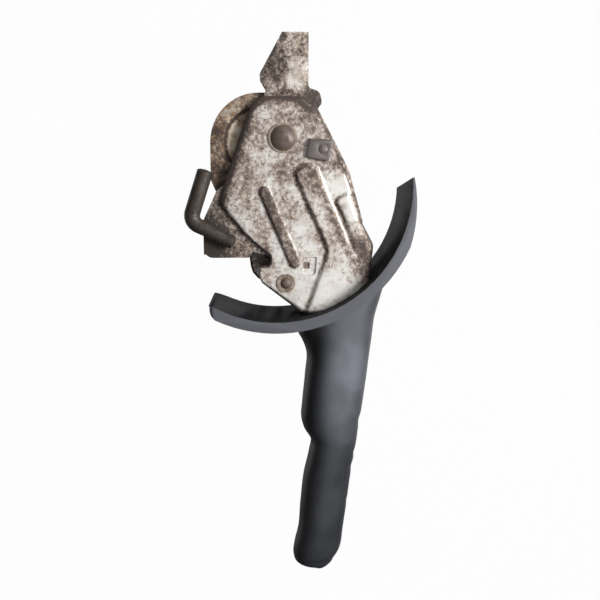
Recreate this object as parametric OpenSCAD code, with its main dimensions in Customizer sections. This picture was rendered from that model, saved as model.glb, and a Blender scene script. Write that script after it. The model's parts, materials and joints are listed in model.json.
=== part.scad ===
// Ratchet handbrake lever with a saddle bracket, cable quadrant and moulded grip.
// X runs from the pivot towards the grip, Y across the lever, Z up in the vehicle.
// The origin is the centre of the rear bolt hole, half way between the two cheeks. Every shape is drawn round
// the pivot axis, and placed() then moves it to the origin.
// Near parts are on the -Y side. Outlines are [x, z, corner radius].

/* [Bracket] */
// Thickness of the bracket's sheet
bracket_t = 2.5; // [2:0.5:3]
// Distance from the middle plane to the bracket's inner face
bracket_in = 7.2; // [6.6:0.2:7.6]
// Distance that the bracket's curved front edge lies inside the tooth crests
bracket_inset = 2; // [1:0.5:4]
// Distance from the pivot axis to the rear mounting face
rear_face = 64.3; // [60:1:80]
// Distance from the pivot axis down to the front mounting face
front_face = 51.7; // [50:1:60]
// Diameter of the two mounting holes
mount_hole_d = 8.5; // [6.5:0.5:9]

/* [Ratchet] */
// Radius over the crests of the ratchet teeth
sector_r = 77; // [76.5:0.25:77.25]
// Width of the sector from its crests to its inner edge
sector_band = 19; // [17:1:20]
// Thickness of the sector and of the pawl
ratchet_t = 4; // [3:0.5:5]
// Angle from one notch to the next
tooth_pitch = 4; // [3:0.5:6]
// Depth of a notch
tooth_depth = 2.6; // [1.5:0.1:3]
// Distance from the crests in to the circle that the sector's rivets stand on
sector_rivet_inset = 11; // [9:1:12]
// Diameter of the sector's rivets
sector_rivet_d = 8; // [5:0.5:9]
// Diameter of the sector's spacers
sector_spacer_d = 12; // [11:0.5:13]

/* [Lever] */
// Thickness of the lever's sheet
cheek_t = 2; // [1.5:0.25:2.5]
// Height that the main panel is pressed out from the rim
panel_rise = 2.5; // [1:0.25:3]
// Height that the second raised field stands over the panel
field_rise = 1.6; // [0.8:0.2:2]
// Height of the straight rib over the panel
rib_rise = 2.2; // [1:0.2:3]
// Width of the straight rib at its foot
rib_w = 8; // [5:0.5:9]
// Diameter of the pivot pin
pivot_d = 12; // [8:0.5:14]
// Diameter of the pivot pin's heads
pivot_head_d = 16; // [15:0.5:17]
// Diameter of the pivot washers
pivot_washer_d = 18.4; // [17:0.2:20]
// Outside diameter of the pivot bushes
bush_d = 16; // [15:0.5:17]
// Distance from the tooth crests out to the pawl's pin
pawl_reach = 15.5; // [14:0.5:17]
// Diameter of the pawl's pin
pawl_pin_d = 7; // [5:0.5:8]
// Diameter of the washers under the pawl pin's heads
pawl_washer_d = 12; // [10:0.5:13]
// Diameter of the pawl's spacers
pawl_spacer_d = 11; // [9:0.5:11]

/* [Cable] */
// Width of the quadrant over its two flanges
quadrant_w = 11; // [9:0.5:12]
// Thickness of each flange of the quadrant
quadrant_flange_t = 1.5; // [1:0.25:2]
// Depth of the cable groove
groove_depth = 4; // [2:0.5:5]
// Diameter of the seat for the cable's nipple
nipple_d = 7; // [5:0.5:7]
// Depth of the nipple's seat
nipple_depth = 9; // [6:0.5:10]
// Diameter of the hook's bar at its arm
hook_d = 10.4; // [8:0.2:11]
// Diameter of the hook's bar where it lies on the leg
hook_neck_d = 8.8; // [7:0.2:9.4]

/* [Grip] */
// Angle of the grip below the X axis
grip_tilt = 4; // [3:0.5:5]
// Outside diameter of the grip tube
tube_d = 20; // [18:0.5:20]
// Wall of the grip tube
tube_wall = 2; // [1.5:0.25:2.5]
// Length of the grip tube
tube_l = 166; // [150:1:168]
// Diameter of the release rod
rod_d = 6; // [5:0.5:6.5]
// Diameter of the release button
button_d = 12; // [10:0.5:12.5]
// Distance from the tube's end to the button's end
button_out = 18.7; // [16:0.1:21]
// Travel of the release button
button_travel = 6; // [4:0.5:6]
// Diameter of the rivets that hold the tube in the cheeks
tube_rivet_d = 4.5; // [3:0.5:5]

/* [Slot shield] */
// Radius of the shield's inner face
shield_r = 84.8; // [83:0.2:86]
// Thickness of the shield's web
shield_t = 3; // [2:0.5:4]
// Width of the shield across the lever
shield_w = 58; // [50:1:64]
// Height of the shield's side rims at their middle
shield_rim = 7; // [4.5:0.5:8]
// Thickness of the side rims
shield_rim_t = 3; // [2:0.5:4]
// Angle at which the shield's upper end is cut
shield_slant = 7.5; // [0:0.5:10]

/* [Hidden] */

$fn = 48;
corner_steps = 5;
run_gap = 0.3;
pin_gap = 0.05;
seat_gap = 0.02;
steel = "silver";
rust = "saddlebrown";
dark = "dimgray";
black = "#26272a";

// Layers, as distances from the middle plane
bracket_out = bracket_in + bracket_t;
cheek_in = bracket_out + run_gap;
rim_out = cheek_in + cheek_t;
rim_edge = cheek_in + cheek_t / 2;
panel_out = rim_edge + panel_rise;
panel_in = panel_out - cheek_t;
field_out = panel_out + field_rise;
field_in = field_out - cheek_t;

// The saddle bracket's leg
bracket_r = sector_r - bracket_inset;
neck_z = 16.2;
leg_tail = [[-38.2, -15, 3.5], [-rear_face, -0.3, 1], [-rear_face, neck_z, 1], [-31, neck_z, 2.5],
    [-28.9, 23.4, 5], [-20.7, 24.9, 2.5], [-19.3, 21.7, 1], [20, 42.4, 8]];
leg_top_angle = 44;
leg_low_angle = -15;
leg_lug = [[76.2, -22.5, 2], [76.2, -front_face, 6], [52, -front_face, 2], [32.4, -42.4, 2], [27, -34, 4],
    [8, -24, 10], [-15, -17, 5], [-25.2, -12.4, 1.5], [-30, -10.2, 3]];
rear_web_h = neck_z + 0.3;
rear_hole_z = neck_z / 2;
front_web_x = [58, 74];
front_hole_x = (front_web_x[0] + front_web_x[1]) / 2;

// Where the teeth, the rivets and the pawl stand
sector_in_r = sector_r - sector_band;
sector_rivet_r = sector_r - sector_rivet_inset;
sector_angles = [-14, 43];
notch_first = -9.5;
notch_count = 1 + floor((sector_angles[1] - 4 - notch_first) / tooth_pitch);
sector_rivet_angles = [-9, 38];
pawl_angle = 1;
pawl_at = polar(sector_r + pawl_reach, pawl_angle);
pawl_clear = 0.45;
pawl_hub_d = 18;
pawl_hub_w = ratchet_t + 4;
pawl_tail_d = 8.4;
pawl_peg = pawl_at + [-11.4, 13.4];
pawl_peg_w = 4;
pawl_flag_w = 7;

// The cheeks' rim: [x, z, radius, width of the pressed shoulder]. The corners round the pawl keep their place to it
rim_top = concat([[-25.6, 13, 9, 3], [-18.8, 21.5, 4, 1.5], [19.8, 39.5, 40, 1.3], [53, 51, 20, 1.3]],
    by_pawl([[-24.5, 57.3, 8, 1.3], [-4.5, 55.2, 20, 1.3], [23.5, 50.4, 3, 3], [22.1, 11.4, 1.5, 3]]));
rim_notch = by_pawl([[0.1, -15.8, 3, 1.2], [-5.1, -18, 1.5, 1.2], [-10.9, -17.6, 1.5, 1], [-11.9, -10.2, 2, 1],
    [-17.5, -9.8, 2.5, 1], [-24.1, -18.8, 5, 1.4]]);
rim_full = by_pawl([[4.7, -11.2, 8, 1.2], [-0.1, -18.8, 4, 1.2], [-3.9, -22.2, 4, 1.2], [-8.3, -23.5, 4, 1.2],
    [-12.5, -24, 4, 1], [-18.5, -24.9, 5, 1], [-24, -25.6, 5, 1.4]]);
rim_low = [[59.6, -26.2, 6, 1.8], [41.4, -41.6, 6.5, 3.6], [26, -36.9, 15, 5], [-26, -18.4, 14, 4.6]];
tongue = by_pawl([[11.5, 51, 1], [23.5, 49.9, 3], [57.5, 48.4, 3], [57.5, 19.4, 3], [23, 18.6, 3], [18.6, 8, 1],
    [11.5, -1, 1]]);
flank_steps = 3;
pocket_gap = cheek_t + 0.4;

// The second raised field on each cheek, and its straight rib
field = concat([[22, 6.4, 4], [14.2, 14.5, 4.5], [19.5, 22.2, 4], [45, 30.3, 30]],
    by_pawl([[-15, 44.4, 0.6], [-32.5, 39.3, 10]]),
    [[36.6, 32.6, 3.5], [32.6, 41.4, 1], [53.4, 48.6, 15]],
    by_pawl([[-24.5, 54.6, 7], [-5, 52.7, 20], [7, 50, 8], [19.5, 47.8, 2], [19.1, 14.2, 2], [-13, 24, 4],
        [-21, 25.2, 5]]));
field_slope = 1.3;
rib_ends = [[34.3, -11.2], pawl_at + [-13.5, 5.6]];
rib_top_w = 2.6;

// The pressed seat in the near cheek and the hole in its floor, in front of the pawl's peg
sight = by_pawl([[-16.1, 11.1, 1.2], [-16.9, 20, 1.2], [-5.1, 19, 3], [-5.1, 11, 3]]);
sight_depth = 1.2;
sight_hole_w = 4.2;

// The quadrant and the hook
quadrant = [[-28.4, 4, 6], [-28.4, -46.2, 31.3], [26, -46.6, 8], [34.6, -43, 2], [24, -25, 8], [14, 0, 8],
    [9, 13, 7], [-13, 13, 7]];
quadrant_steps = 12;
dish_at = [2.9, -14.9];
dish_d = 44.6;
nipple_at = [16, -38];
hook_path = [[19.6, -48.9], [52.2, -59.8], [66.3, -31.5]];
hook_bend_r = 7;

// The striker plate
striker = [[0.2, 16.6, 2], [1, 32.2, 2], [14.6, 29, 2], [11.8, 14.4, 2]];
striker_t = 3;
striker_rivet_at = [6.7, 25];
striker_rivet_d = 5;

// The grip's axis and what lies along it
axis_x = pawl_at[0] + 25.5;
axis_z = 37.4;
rod_start = -32.6;
collar_l = 4.7;
ferrule_l = 12;
ferrule_flange_t = 2;
ferrule_at = tube_l - ferrule_l + ferrule_flange_t;
collar_at = ferrule_at - run_gap - collar_l;
button_end = tube_l + button_out;
button_collar_d = 14;
rod_bite = 8;
guide_l = 10;
front_guide_at = 6;
rear_guide_at = 102;
tube_in_d = tube_d - 2 * tube_wall;
tube_rivet_offset = (tube_in_d + rod_d) / 4 + 0.4;
tube_rivet_at = [10, 24];
spring_wire = 1.6;
spring_mean_d = (tube_in_d + rod_d) / 2 - 0.4;
spring_turns = 12;
pawl_spring_wire = 1.2;
pawl_spring_turns = 2.5;

// Grip sections: [distance along X, lowest z, highest z, half width, squareness]. The first ones are measured
// from the tube's start, and the last ones from the middle of the tube's end
grip_start = [
    [-32, 6, 70, 21, 2.6], [-14, 6.4, 65, 20.5, 2.6], [0, 7.6, 61.4, 19.6, 2.6], [9, 9.4, 60.4, 18.8, 2.6],
    [15, 12.6, 59.8, 18.2, 2.5], [22, 15.2, 58.9, 17.6, 2.5], [40, 14.6, 57, 16.8, 2.4],
    [60, 12.7, 54.5, 16.2, 2.4], [71, 12.1, 53.1, 15.9, 2.3], [78, 14, 51.9, 15.6, 2.3],
    [86, 18.6, 50.9, 15.2, 2.3], [96, 17.4, 49.6, 15, 2.2], [112, 13.9, 47, 15, 2.2]];
grip_end = [
    [-31.6, -14.3, 18.6, 15, 2.2], [-9.6, -16.3, 15.8, 14.9, 2.2], [-2, -18.2, 15, 14.6, 2.2],
    [2.6, -19, 13.9, 14.1, 2.2], [6.6, -19.4, 12, 13.4, 2.2], [9.9, -18.8, 9.6, 12.3, 2.2],
    [12.4, -17.6, 6.8, 11, 2.1], [14.4, -15.4, 4.4, 9.6, 2], [15.6, -12.6, 2.6, 8.4, 2]];
grip_sides = 28;
shield_at = [axis_x - 87, -4.4];
shield_angles = [-30.6, 94.5];
shield_tip = 1;
shield_rise = 28;
shield_round = 5;
shield_steps = 30;
shield_foot_r = [3.5, 12];
shield_slot = [11, 57];
sleeve_gap = 0.3;
sleeve_pocket = [19, 53];
sleeve_pocket_end = pawl_at[0] + 59.5;
sleeve_mouth_end = pawl_at[0] + 24.5;
sleeve_mouths = [[rim_out, 10, 56.2], [panel_out, 12.5, 55.3], [field_out, 15.5, 52.6]];

// Helpers for outlines
function xz(p) = [p[0], p[1]];
function by_pawl(pts) = [for (p = pts) [p[0] + pawl_at[0], p[1] + pawl_at[1], p[2], each len(p) > 3 ? [p[3]] : []]];
function unit2(v) = v / norm(v);
function wrap(a) = a > 180 ? a - 360 : a < -180 ? a + 360 : a;
function corner(a, b, c, r, n = corner_steps) =
    let (u = unit2(a - b), v = unit2(c - b), half = acos(u * v) / 2, reach = r / tan(half),
        mid = b + unit2(u + v) * r / sin(half), p = b + u * reach - mid, q = b + v * reach - mid,
        start = atan2(p[1], p[0]), turn = wrap(atan2(q[1], q[0]) - start))
    [for (i = [0 : n]) mid + r * [cos(start + turn * i / n), sin(start + turn * i / n)]];
function rounded(pts, steps = corner_steps) =
    let (n = len(pts))
    [for (i = [0 : n - 1]) each corner(xz(pts[(i + n - 1) % n]), xz(pts[i]), xz(pts[(i + 1) % n]), pts[i][2], steps)];
function area2(pts) =
    let (n = len(pts))
    [for (i = 0, s = 0; i <= n; s = s + (i < n ? pts[i][0] * pts[(i + 1) % n][1] - pts[(i + 1) % n][0] * pts[i][1] : 0),
        i = i + 1) s][n];
function left_of(a, b) = let (d = unit2(b - a)) [-d[1], d[0]];

// Each corner moves inwards by its own distance d[i], and its radius follows
function inset(pts, d) =
    let (n = len(pts), side = area2(pts) > 0 ? 1 : -1)
    [for (i = [0 : n - 1])
        let (a = xz(pts[(i + n - 1) % n]), b = xz(pts[i]), c = xz(pts[(i + 1) % n]),
            n1 = side * left_of(a, b), n2 = side * left_of(b, c),
            q = b + d[i] * (n1 + n2) / (1 + n1 * n2),
            bulge = side * ((b - a)[0] * (c - b)[1] - (b - a)[1] * (c - b)[0]) > 0 ? -1 : 1)
        [q[0], q[1], max(0.3, pts[i][2] + bulge * d[i])]];
function even(pts, d) = [for (p = pts) d];
function capsule(a, b, w) =
    let (start = atan2(b[1] - a[1], b[0] - a[0]) + 90, n = 2 * corner_steps)
    concat(
        [for (i = [0 : n]) a + w / 2 * [cos(start + 180 * i / n), sin(start + 180 * i / n)]],
        [for (i = [0 : n]) b + w / 2 * [cos(start + 180 + 180 * i / n), sin(start + 180 + 180 * i / n)]]);
function polar(r, a) = [r * cos(a), r * sin(a)];

// A flat plate on the near side, from one distance out of the middle plane to another
module slab(pts, from, to) {
    translate([0, -from, 0])
        rotate([90, 0, 0])
            linear_extrude(to - from)
                polygon(pts);
}

// A raised area whose outline draws in by d while it rises from its foot to its top, in a few coined steps
module raised(pts, d, foot, top, steps) {
    for (k = [1 : steps])
        slab(rounded(inset(pts, d * (k - 1) / steps)), cheek_in, foot + (top - foot) * k / steps);
}

module raised_rib(top) {
    for (k = [1 : flank_steps])
        slab(capsule(rib_ends[0], rib_ends[1], rib_w - (rib_w - rib_top_w) * (k - 1) / (flank_steps - 1)),
            cheek_in, top - rib_rise * (1 - k / flank_steps));
}

// A pin across the lever, centred on the middle plane unless from and to are given
module cross_pin(at, d, from, to) {
    translate([at[0], from, at[1]])
        rotate([-90, 0, 0])
            cylinder(d = d, h = to - from);
}

module both_sides() {
    children();
    mirror([0, 1, 0])
        children();
}

// A shallow dome on a pin's end, standing on the near side at a distance out
module dome(at, d, h, out) {
    ball_r = (d * d / 4 + h * h) / (2 * h);
    translate([at[0], -out, at[1]])
        rotate([90, 0, 0])
            intersection() {
                translate([0, 0, h - ball_r])
                    sphere(r = ball_r, $fn = 96);
                cylinder(d = d, h = h + 1);
            }
}

module along_grip(s) {
    translate([axis_x, 0, axis_z])
        rotate([0, 90 + grip_tilt, 0])
            translate([0, 0, s])
                children();
}

// A round bar swept along points, with its diameter at each point in the list ds
module wire(path, ds, sides) {
    n = len(path);
    rings = [for (i = [0 : n - 1])
        let (t = path[min(n - 1, i + 1)] - path[max(0, i - 1)], dir = t / norm(t),
            up = abs(dir[1]) > 0.9 ? [1, 0, 0] : [0, 1, 0],
            u = cross(dir, up) / norm(cross(dir, up)), v = cross(dir, u),
            r = ds[i] / 2)
        for (k = [0 : sides - 1]) path[i] + r * (u * cos(360 * k / sides) + v * sin(360 * k / sides))];
    walls = [for (i = [0 : n - 2]) for (k = [0 : sides - 1])
        let (p = i * sides + k, q = i * sides + (k + 1) % sides)
        each [[q, p, p + sides], [q, p + sides, q + sides]]];
    polyhedron(rings, concat(walls,
        [[for (k = [0 : sides - 1]) k], [for (k = [sides - 1 : -1 : 0]) (n - 1) * sides + k]]));
}

module placed() {
    translate([rear_face - bracket_t / 2, 0, -rear_hole_z])
        children();
}

// Bracket and ratchet
module leg() {
    arc = [for (i = [0 : 12]) polar(bracket_r, leg_top_angle + (leg_low_angle - leg_top_angle) * i / 12)];
    tail = rounded(concat(leg_tail, [concat(arc[0], [1.5])], [concat(arc[12], [1])], leg_lug));
    slab(concat([for (i = [0 : 9 * (corner_steps + 1) - 1]) tail[i]], [for (i = [1 : 11]) arc[i]],
        [for (i = [9 * (corner_steps + 1) : len(tail) - 1]) tail[i]]), bracket_in, bracket_out);
}

module mounting_bracket() {
    placed() color(steel)
        difference() {
            union() {
                both_sides()
                    leg();
                translate([-rear_face, -bracket_out, -0.3])
                    cube([bracket_t, 2 * bracket_out, rear_web_h]);
                translate([front_web_x[0], -bracket_out, -front_face])
                    cube([front_web_x[1] - front_web_x[0], 2 * bracket_out, bracket_t]);
            }
            cross_pin([0, 0], bush_d + 2 * seat_gap, -bracket_out - 1, bracket_out + 1);
            for (a = sector_rivet_angles)
                cross_pin(polar(sector_rivet_r, a), sector_rivet_d + 2 * seat_gap, -bracket_out - 1, bracket_out + 1);
            translate([-rear_face - 1, 0, rear_hole_z])
                rotate([0, 90, 0])
                    cylinder(d = mount_hole_d, h = bracket_t + 2);
            translate([front_hole_x, 0, -front_face - 1])
                cylinder(d = mount_hole_d, h = bracket_t + 2);
        }
}

// A notch has a steep flank, which holds the pawl, and a sloping one
module notch(a) {
    tip = polar(sector_r - tooth_depth, a);
    out = sector_r + 2;
    slab([tip, polar(out, a - 0.4), polar(out, a + tooth_pitch * 0.95)], -ratchet_t, ratchet_t);
}

module ratchet_sector() {
    steps = 20;
    sweep = sector_angles[1] - sector_angles[0];
    outer = [for (i = [0 : steps]) polar(sector_r, sector_angles[0] + sweep * i / steps)];
    inner = [for (i = [steps : -1 : 0]) polar(sector_in_r, sector_angles[0] + sweep * i / steps)];
    placed() color(dark)
        difference() {
            slab(concat(outer, inner), -ratchet_t / 2, ratchet_t / 2);
            for (i = [0 : notch_count - 1])
                notch(notch_first + i * tooth_pitch);
            for (a = sector_rivet_angles)
                cross_pin(polar(sector_rivet_r, a), sector_rivet_d + 2 * seat_gap, -ratchet_t, ratchet_t);
        }
}

module sector_rivets() {
    placed() color(dark)
        for (a = sector_rivet_angles)
            cross_pin(polar(sector_rivet_r, a), sector_rivet_d, -bracket_out, bracket_out);
}

module sector_spacers() {
    placed() color(steel)
        both_sides()
            for (a = sector_rivet_angles)
                difference() {
                    cross_pin(polar(sector_rivet_r, a), sector_spacer_d, -bracket_in, -ratchet_t / 2);
                    cross_pin(polar(sector_rivet_r, a), sector_rivet_d + 2 * seat_gap, -bracket_in - 1, 0);
                }
}

module pivot_bushes() {
    bush_flange_t = 1;
    placed() color("darkgoldenrod")
        both_sides()
            difference() {
                union() {
                    cross_pin([0, 0], bush_d, -bracket_out, -bracket_in);
                    cross_pin([0, 0], bush_d + 4, -bracket_in, -bracket_in + bush_flange_t);
                }
                cross_pin([0, 0], pivot_d + 2 * pin_gap, -bracket_out - 1, 0);
            }
}

module cable_hook() {
    u = unit2(hook_path[0] - hook_path[1]);
    v = unit2(hook_path[2] - hook_path[1]);
    bend = corner(hook_path[0], hook_path[1], hook_path[2], hook_bend_r, 12);
    line = concat([hook_path[0], hook_path[0] - u * hook_d / 5], bend,
        [hook_path[2] - v * hook_neck_d / 5, hook_path[2]]);
    ds = concat([hook_d * 0.72, hook_d], [for (i = [0 : 12]) hook_d + (hook_neck_d - hook_d) * i / 12],
        [hook_neck_d, hook_neck_d * 0.72]);
    placed() color(rust)
        wire([for (p = line) [p[0], -bracket_out - hook_neck_d / 2, p[1]]], ds, 24);
}

// Lever
function square_at(at, w) = [for (c = [[-1, -1], [1, -1], [1, 1], [-1, 1]]) at + w / 2 * c];

module cheek(low_edge, near) {
    rim = concat(rim_top, low_edge, rim_low);
    shoulder = [for (p = rim) p[3]];
    difference() {
        union() {
            slab(rounded(rim), cheek_in, rim_edge);
            slab(rounded(tongue), cheek_in, rim_out);
            raised(rim, shoulder, rim_edge, panel_out, flank_steps);
            raised(field, even(field, field_slope), panel_out, field_out, 2);
            raised_rib(panel_out + rib_rise);
        }
        slab(rounded(inset(rim, shoulder + even(rim, pocket_gap))), cheek_in - 1, panel_in);
        if (near) {
            slab(rounded(sight), panel_out - sight_depth, field_out + 1);
            slab(square_at(pawl_peg, sight_hole_w), cheek_in - 1, field_out + 1);
        }
        cross_pin([0, 0], pivot_d + 2 * seat_gap, -field_out - 1, 0);
        cross_pin(pawl_at, pawl_pin_d + 2 * seat_gap, -field_out - 1, 0);
        for (i = [0, 1])
            tube_rivet(i, tube_rivet_d + 2 * seat_gap, rim_out + 1);
        if (near)
            cross_pin(striker_rivet_at, striker_rivet_d + 2 * seat_gap, -field_out - 1, 0);
    }
}

module near_cheek() {
    placed() color(steel)
        cheek(rim_notch, true);
}

module far_cheek() {
    placed() color(steel)
        mirror([0, 1, 0])
            cheek(rim_full, false);
}

washer_t = 1;
module washer(at, d, bore) {
    difference() {
        cross_pin(at, d, -panel_out - washer_t, -panel_out);
        cross_pin(at, bore + 2 * seat_gap, -panel_out - washer_t - 1, 0);
    }
}

module headed_pin(at, d, head_d, head_h) {
    out = panel_out + washer_t;
    cross_pin(at, d, -out, out);
    both_sides()
        dome(at, head_d, head_h, out);
}

module pivot_pin() {
    placed() color(rust)
        headed_pin([0, 0], pivot_d, pivot_head_d, 3);
}

module pivot_washers() {
    placed() color(rust)
        both_sides()
            washer([0, 0], pivot_washer_d, pivot_d);
}

module cable_quadrant() {
    flange_in = quadrant_w / 2 - quadrant_flange_t;
    outline = rounded(quadrant, quadrant_steps);
    placed() color(rust)
        difference() {
            union() {
                both_sides()
                    slab(outline, flange_in, quadrant_w / 2);
                slab(rounded(inset(quadrant, even(quadrant, groove_depth)), quadrant_steps), -flange_in, flange_in);
            }
            both_sides()
                cross_pin(dish_at, dish_d, -quadrant_w, -quadrant_w / 2 + quadrant_flange_t / 2);
            cross_pin([0, 0], pivot_d + 2 * seat_gap, -quadrant_w, quadrant_w);
            cross_pin(nipple_at, nipple_d, quadrant_w / 2 - nipple_depth, quadrant_w);
        }
}

module pawl_pin() {
    placed() color(rust)
        headed_pin(pawl_at, pawl_pin_d, pawl_pin_d + 0.4, 1.8);
}

module pawl_washers() {
    placed() color(rust)
        both_sides()
            washer(pawl_at, pawl_washer_d, pawl_pin_d);
}

module pawl_spacers() {
    placed() color(steel)
        both_sides()
            difference() {
                cross_pin(pawl_at, pawl_spacer_d, -panel_in, -pawl_hub_w / 2 - run_gap);
                cross_pin(pawl_at, pawl_pin_d + 2 * seat_gap, -panel_in - 1, 0);
            }
}

// Pawl: a hub, a nose that stands over the teeth and a tail in front of the rod
module pawl() {
    nose = polar(sector_r + pawl_clear, notch_first + 0.2);
    rod_low = grip_point(rod_start) - rod_d / 2 * [sin(grip_tilt), cos(grip_tilt)];
    reach = rod_low - pawl_at;
    lean = atan2(reach[1], reach[0]) + asin((run_gap + pawl_tail_d / 2) / norm(reach));
    tail = pawl_at + polar(norm(reach) + rod_d / 2, lean);
    placed() color(rust)
        difference() {
            union() {
                cross_pin(pawl_at, pawl_hub_d, -pawl_hub_w / 2, pawl_hub_w / 2);
                slab([nose, nose + [2.6, 4.4], pawl_at + [-4, 7], pawl_at + [3, -7.5], nose + [4.4, -2.6]],
                    -ratchet_t / 2, ratchet_t / 2);
                slab(capsule(pawl_at, tail, pawl_tail_d), -ratchet_t / 2, ratchet_t / 2);
                slab([pawl_at + [-4, -2], pawl_at + [-6, 6], pawl_peg + [-2, -2], pawl_peg + [-2, 2],
                    pawl_peg + [2, 2], tail + [3, -18], pawl_at + [4, 5]], -ratchet_t / 2, ratchet_t / 2);
                slab(square_at(pawl_peg, pawl_peg_w), 0, bracket_out + run_gap);
                slab(square_at(pawl_peg, pawl_flag_w), bracket_out + run_gap, panel_in - run_gap);
            }
            cross_pin(pawl_at, pawl_pin_d + 2 * pin_gap, -pawl_hub_w, pawl_hub_w);
        }
}

module pawl_spring() {
    mean_r = (pawl_spacer_d + pawl_spring_wire) / 2 + 0.4;
    from = pawl_hub_w / 2 + 0.9;
    rise = pawl_spring_wire + 0.45;
    n = 14 * pawl_spring_turns;
    coil = [for (i = [0 : n]) let (a = 250 + 360 * i / 14)
        [pawl_at[0] + mean_r * cos(a), from + rise * i / 14, pawl_at[1] + mean_r * sin(a)]];
    first = 250;
    last = first + 360 * pawl_spring_turns;
    lead = [for (k = [1 : 2]) coil[0] + 5 * k * [sin(first), 0, -cos(first)]];
    tail = [for (k = [1 : 2]) coil[n] + 4 * k * [-sin(last), 0, cos(last)]];
    path = concat([lead[1], lead[0]], coil, tail);
    placed() color(steel)
        wire(path, even(path, pawl_spring_wire), 6);
}

module striker_plate() {
    placed() color(dark)
        difference() {
            slab(rounded(striker), panel_out, panel_out + striker_t);
            cross_pin(striker_rivet_at, striker_rivet_d + 2 * seat_gap, -panel_out - striker_t - 1, 0);
        }
}

module striker_rivet() {
    placed() color(rust) {
        cross_pin(striker_rivet_at, striker_rivet_d, -panel_out - striker_t, -cheek_in);
        dome(striker_rivet_at, striker_rivet_d + 1, 0.8, panel_out + striker_t);
    }
}

// Grip
function grip_point(s) = [axis_x + s * cos(grip_tilt), axis_z - s * sin(grip_tilt)];

module tube_rivet(i, d, half = rim_out) {
    at = grip_point(tube_rivet_at[i]) + (i == 0 ? 1 : -1) * [0, tube_rivet_offset];
    cross_pin(at, d, -half, half);
}

module grip_tube() {
    placed() color(steel)
        difference() {
            along_grip(0)
                cylinder(d = tube_d - 2 * seat_gap, h = tube_l);
            along_grip(-1)
                cylinder(d = tube_in_d, h = tube_l + 2);
            for (i = [0, 1])
                tube_rivet(i, tube_rivet_d + 2 * seat_gap);
        }
}

module tube_rivets() {
    placed() color(steel)
        for (i = [0, 1])
            tube_rivet(i, tube_rivet_d);
}

module rod_guide(s) {
    placed() color(black)
        difference() {
            along_grip(s)
                cylinder(d = tube_in_d - 2 * seat_gap, h = guide_l);
            along_grip(s - 1)
                cylinder(d = rod_d + 4 * pin_gap, h = guide_l + 2);
        }
}

module front_rod_guide() {
    rod_guide(tube_rivet_at[1] + front_guide_at);
}

module rear_rod_guide() {
    rod_guide(rear_guide_at);
}

module button_ferrule() {
    placed() color(black)
        difference() {
            union() {
                along_grip(ferrule_at)
                    cylinder(d = tube_in_d - 2 * seat_gap, h = ferrule_l - ferrule_flange_t);
                along_grip(tube_l)
                    cylinder(d = tube_d - 2 * seat_gap, h = ferrule_flange_t);
            }
            along_grip(ferrule_at - 1)
                cylinder(d = button_d + 4 * pin_gap, h = ferrule_l + 2);
        }
}

function grip_ring(s) =
    [for (k = [0 : grip_sides - 1])
        let (a = 360 * k / grip_sides, e = 2 / s[4], cz = (s[1] + s[2]) / 2, hz = (s[2] - s[1]) / 2)
        [s[0], s[3] * sign(cos(a)) * pow(abs(cos(a)), e), cz + hz * sign(sin(a)) * pow(abs(sin(a)), e)]];

module grip_body() {
    tube_end = grip_point(tube_l);
    grip_sections = concat([for (g = grip_start) [axis_x + g[0], g[1], g[2], g[3], g[4]]],
        [for (g = grip_end) [tube_end[0] + g[0], tube_end[1] + g[1], tube_end[1] + g[2], g[3], g[4]]]);
    n = len(grip_sections);
    m = grip_sides;
    walls = [for (i = [0 : n - 2]) for (k = [0 : m - 1])
        let (a = i * m + k, b = i * m + (k + 1) % m)
        each [[b, a, a + m], [b, a + m, b + m]]];
    polyhedron([for (s = grip_sections) each grip_ring(s)],
        concat(walls, [[for (k = [0 : m - 1]) k], [for (k = [m - 1 : -1 : 0]) (n - 1) * m + k]]));
}

module grip_sleeve() {
    pocket_start = axis_x + grip_start[0][0] - 6;
    placed() color(black)
        difference() {
            grip_body();
            translate([shield_at[0], 0, shield_at[1]])
                rotate([90, 0, 0])
                    cylinder(r = shield_r + shield_t, h = 2 * shield_w, center = true, $fn = 120);
            for (m = sleeve_mouths)
                translate([pocket_start, -m[0] - sleeve_gap, m[1]])
                    cube([sleeve_mouth_end - pocket_start, 2 * (m[0] + sleeve_gap), m[2] - m[1]]);
            translate([pocket_start, -rim_out - sleeve_gap, sleeve_pocket[0]])
                cube([sleeve_pocket_end - pocket_start, 2 * (rim_out + sleeve_gap), sleeve_pocket[1] - sleeve_pocket[0]]);
            along_grip(0)
                cylinder(d = tube_d + 2 * seat_gap, h = tube_l + ferrule_flange_t + seat_gap);
            along_grip(tube_l)
                cylinder(d = button_d + 0.8, h = button_out + 20);
        }
}

// Shield: an arc whose side rims round off at its foot and run out slowly towards its upper end
function shield_point(a, out) = shield_at + polar(shield_r + out, a);
function rim_share(a) =
    min(sin(90 * min(1, (a - shield_angles[0]) / shield_round)), min(1, (shield_angles[1] - a) / shield_rise));

module shield_band(from, to, height) {
    foot = [for (t = [0, 0.12, 0.3, 0.55]) shield_angles[0] + shield_round * t];
    run = shield_angles[1] - shield_angles[0] - shield_round;
    angles = concat(foot, [for (i = [0 : shield_steps]) shield_angles[0] + shield_round + run * i / shield_steps]);
    n = len(angles);
    slab(concat([for (a = angles) shield_point(a, 0)],
        [for (i = [n - 1 : -1 : 0]) shield_point(angles[i], shield_tip + (height - shield_tip) * rim_share(angles[i]))]),
        from, to);
}

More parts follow.
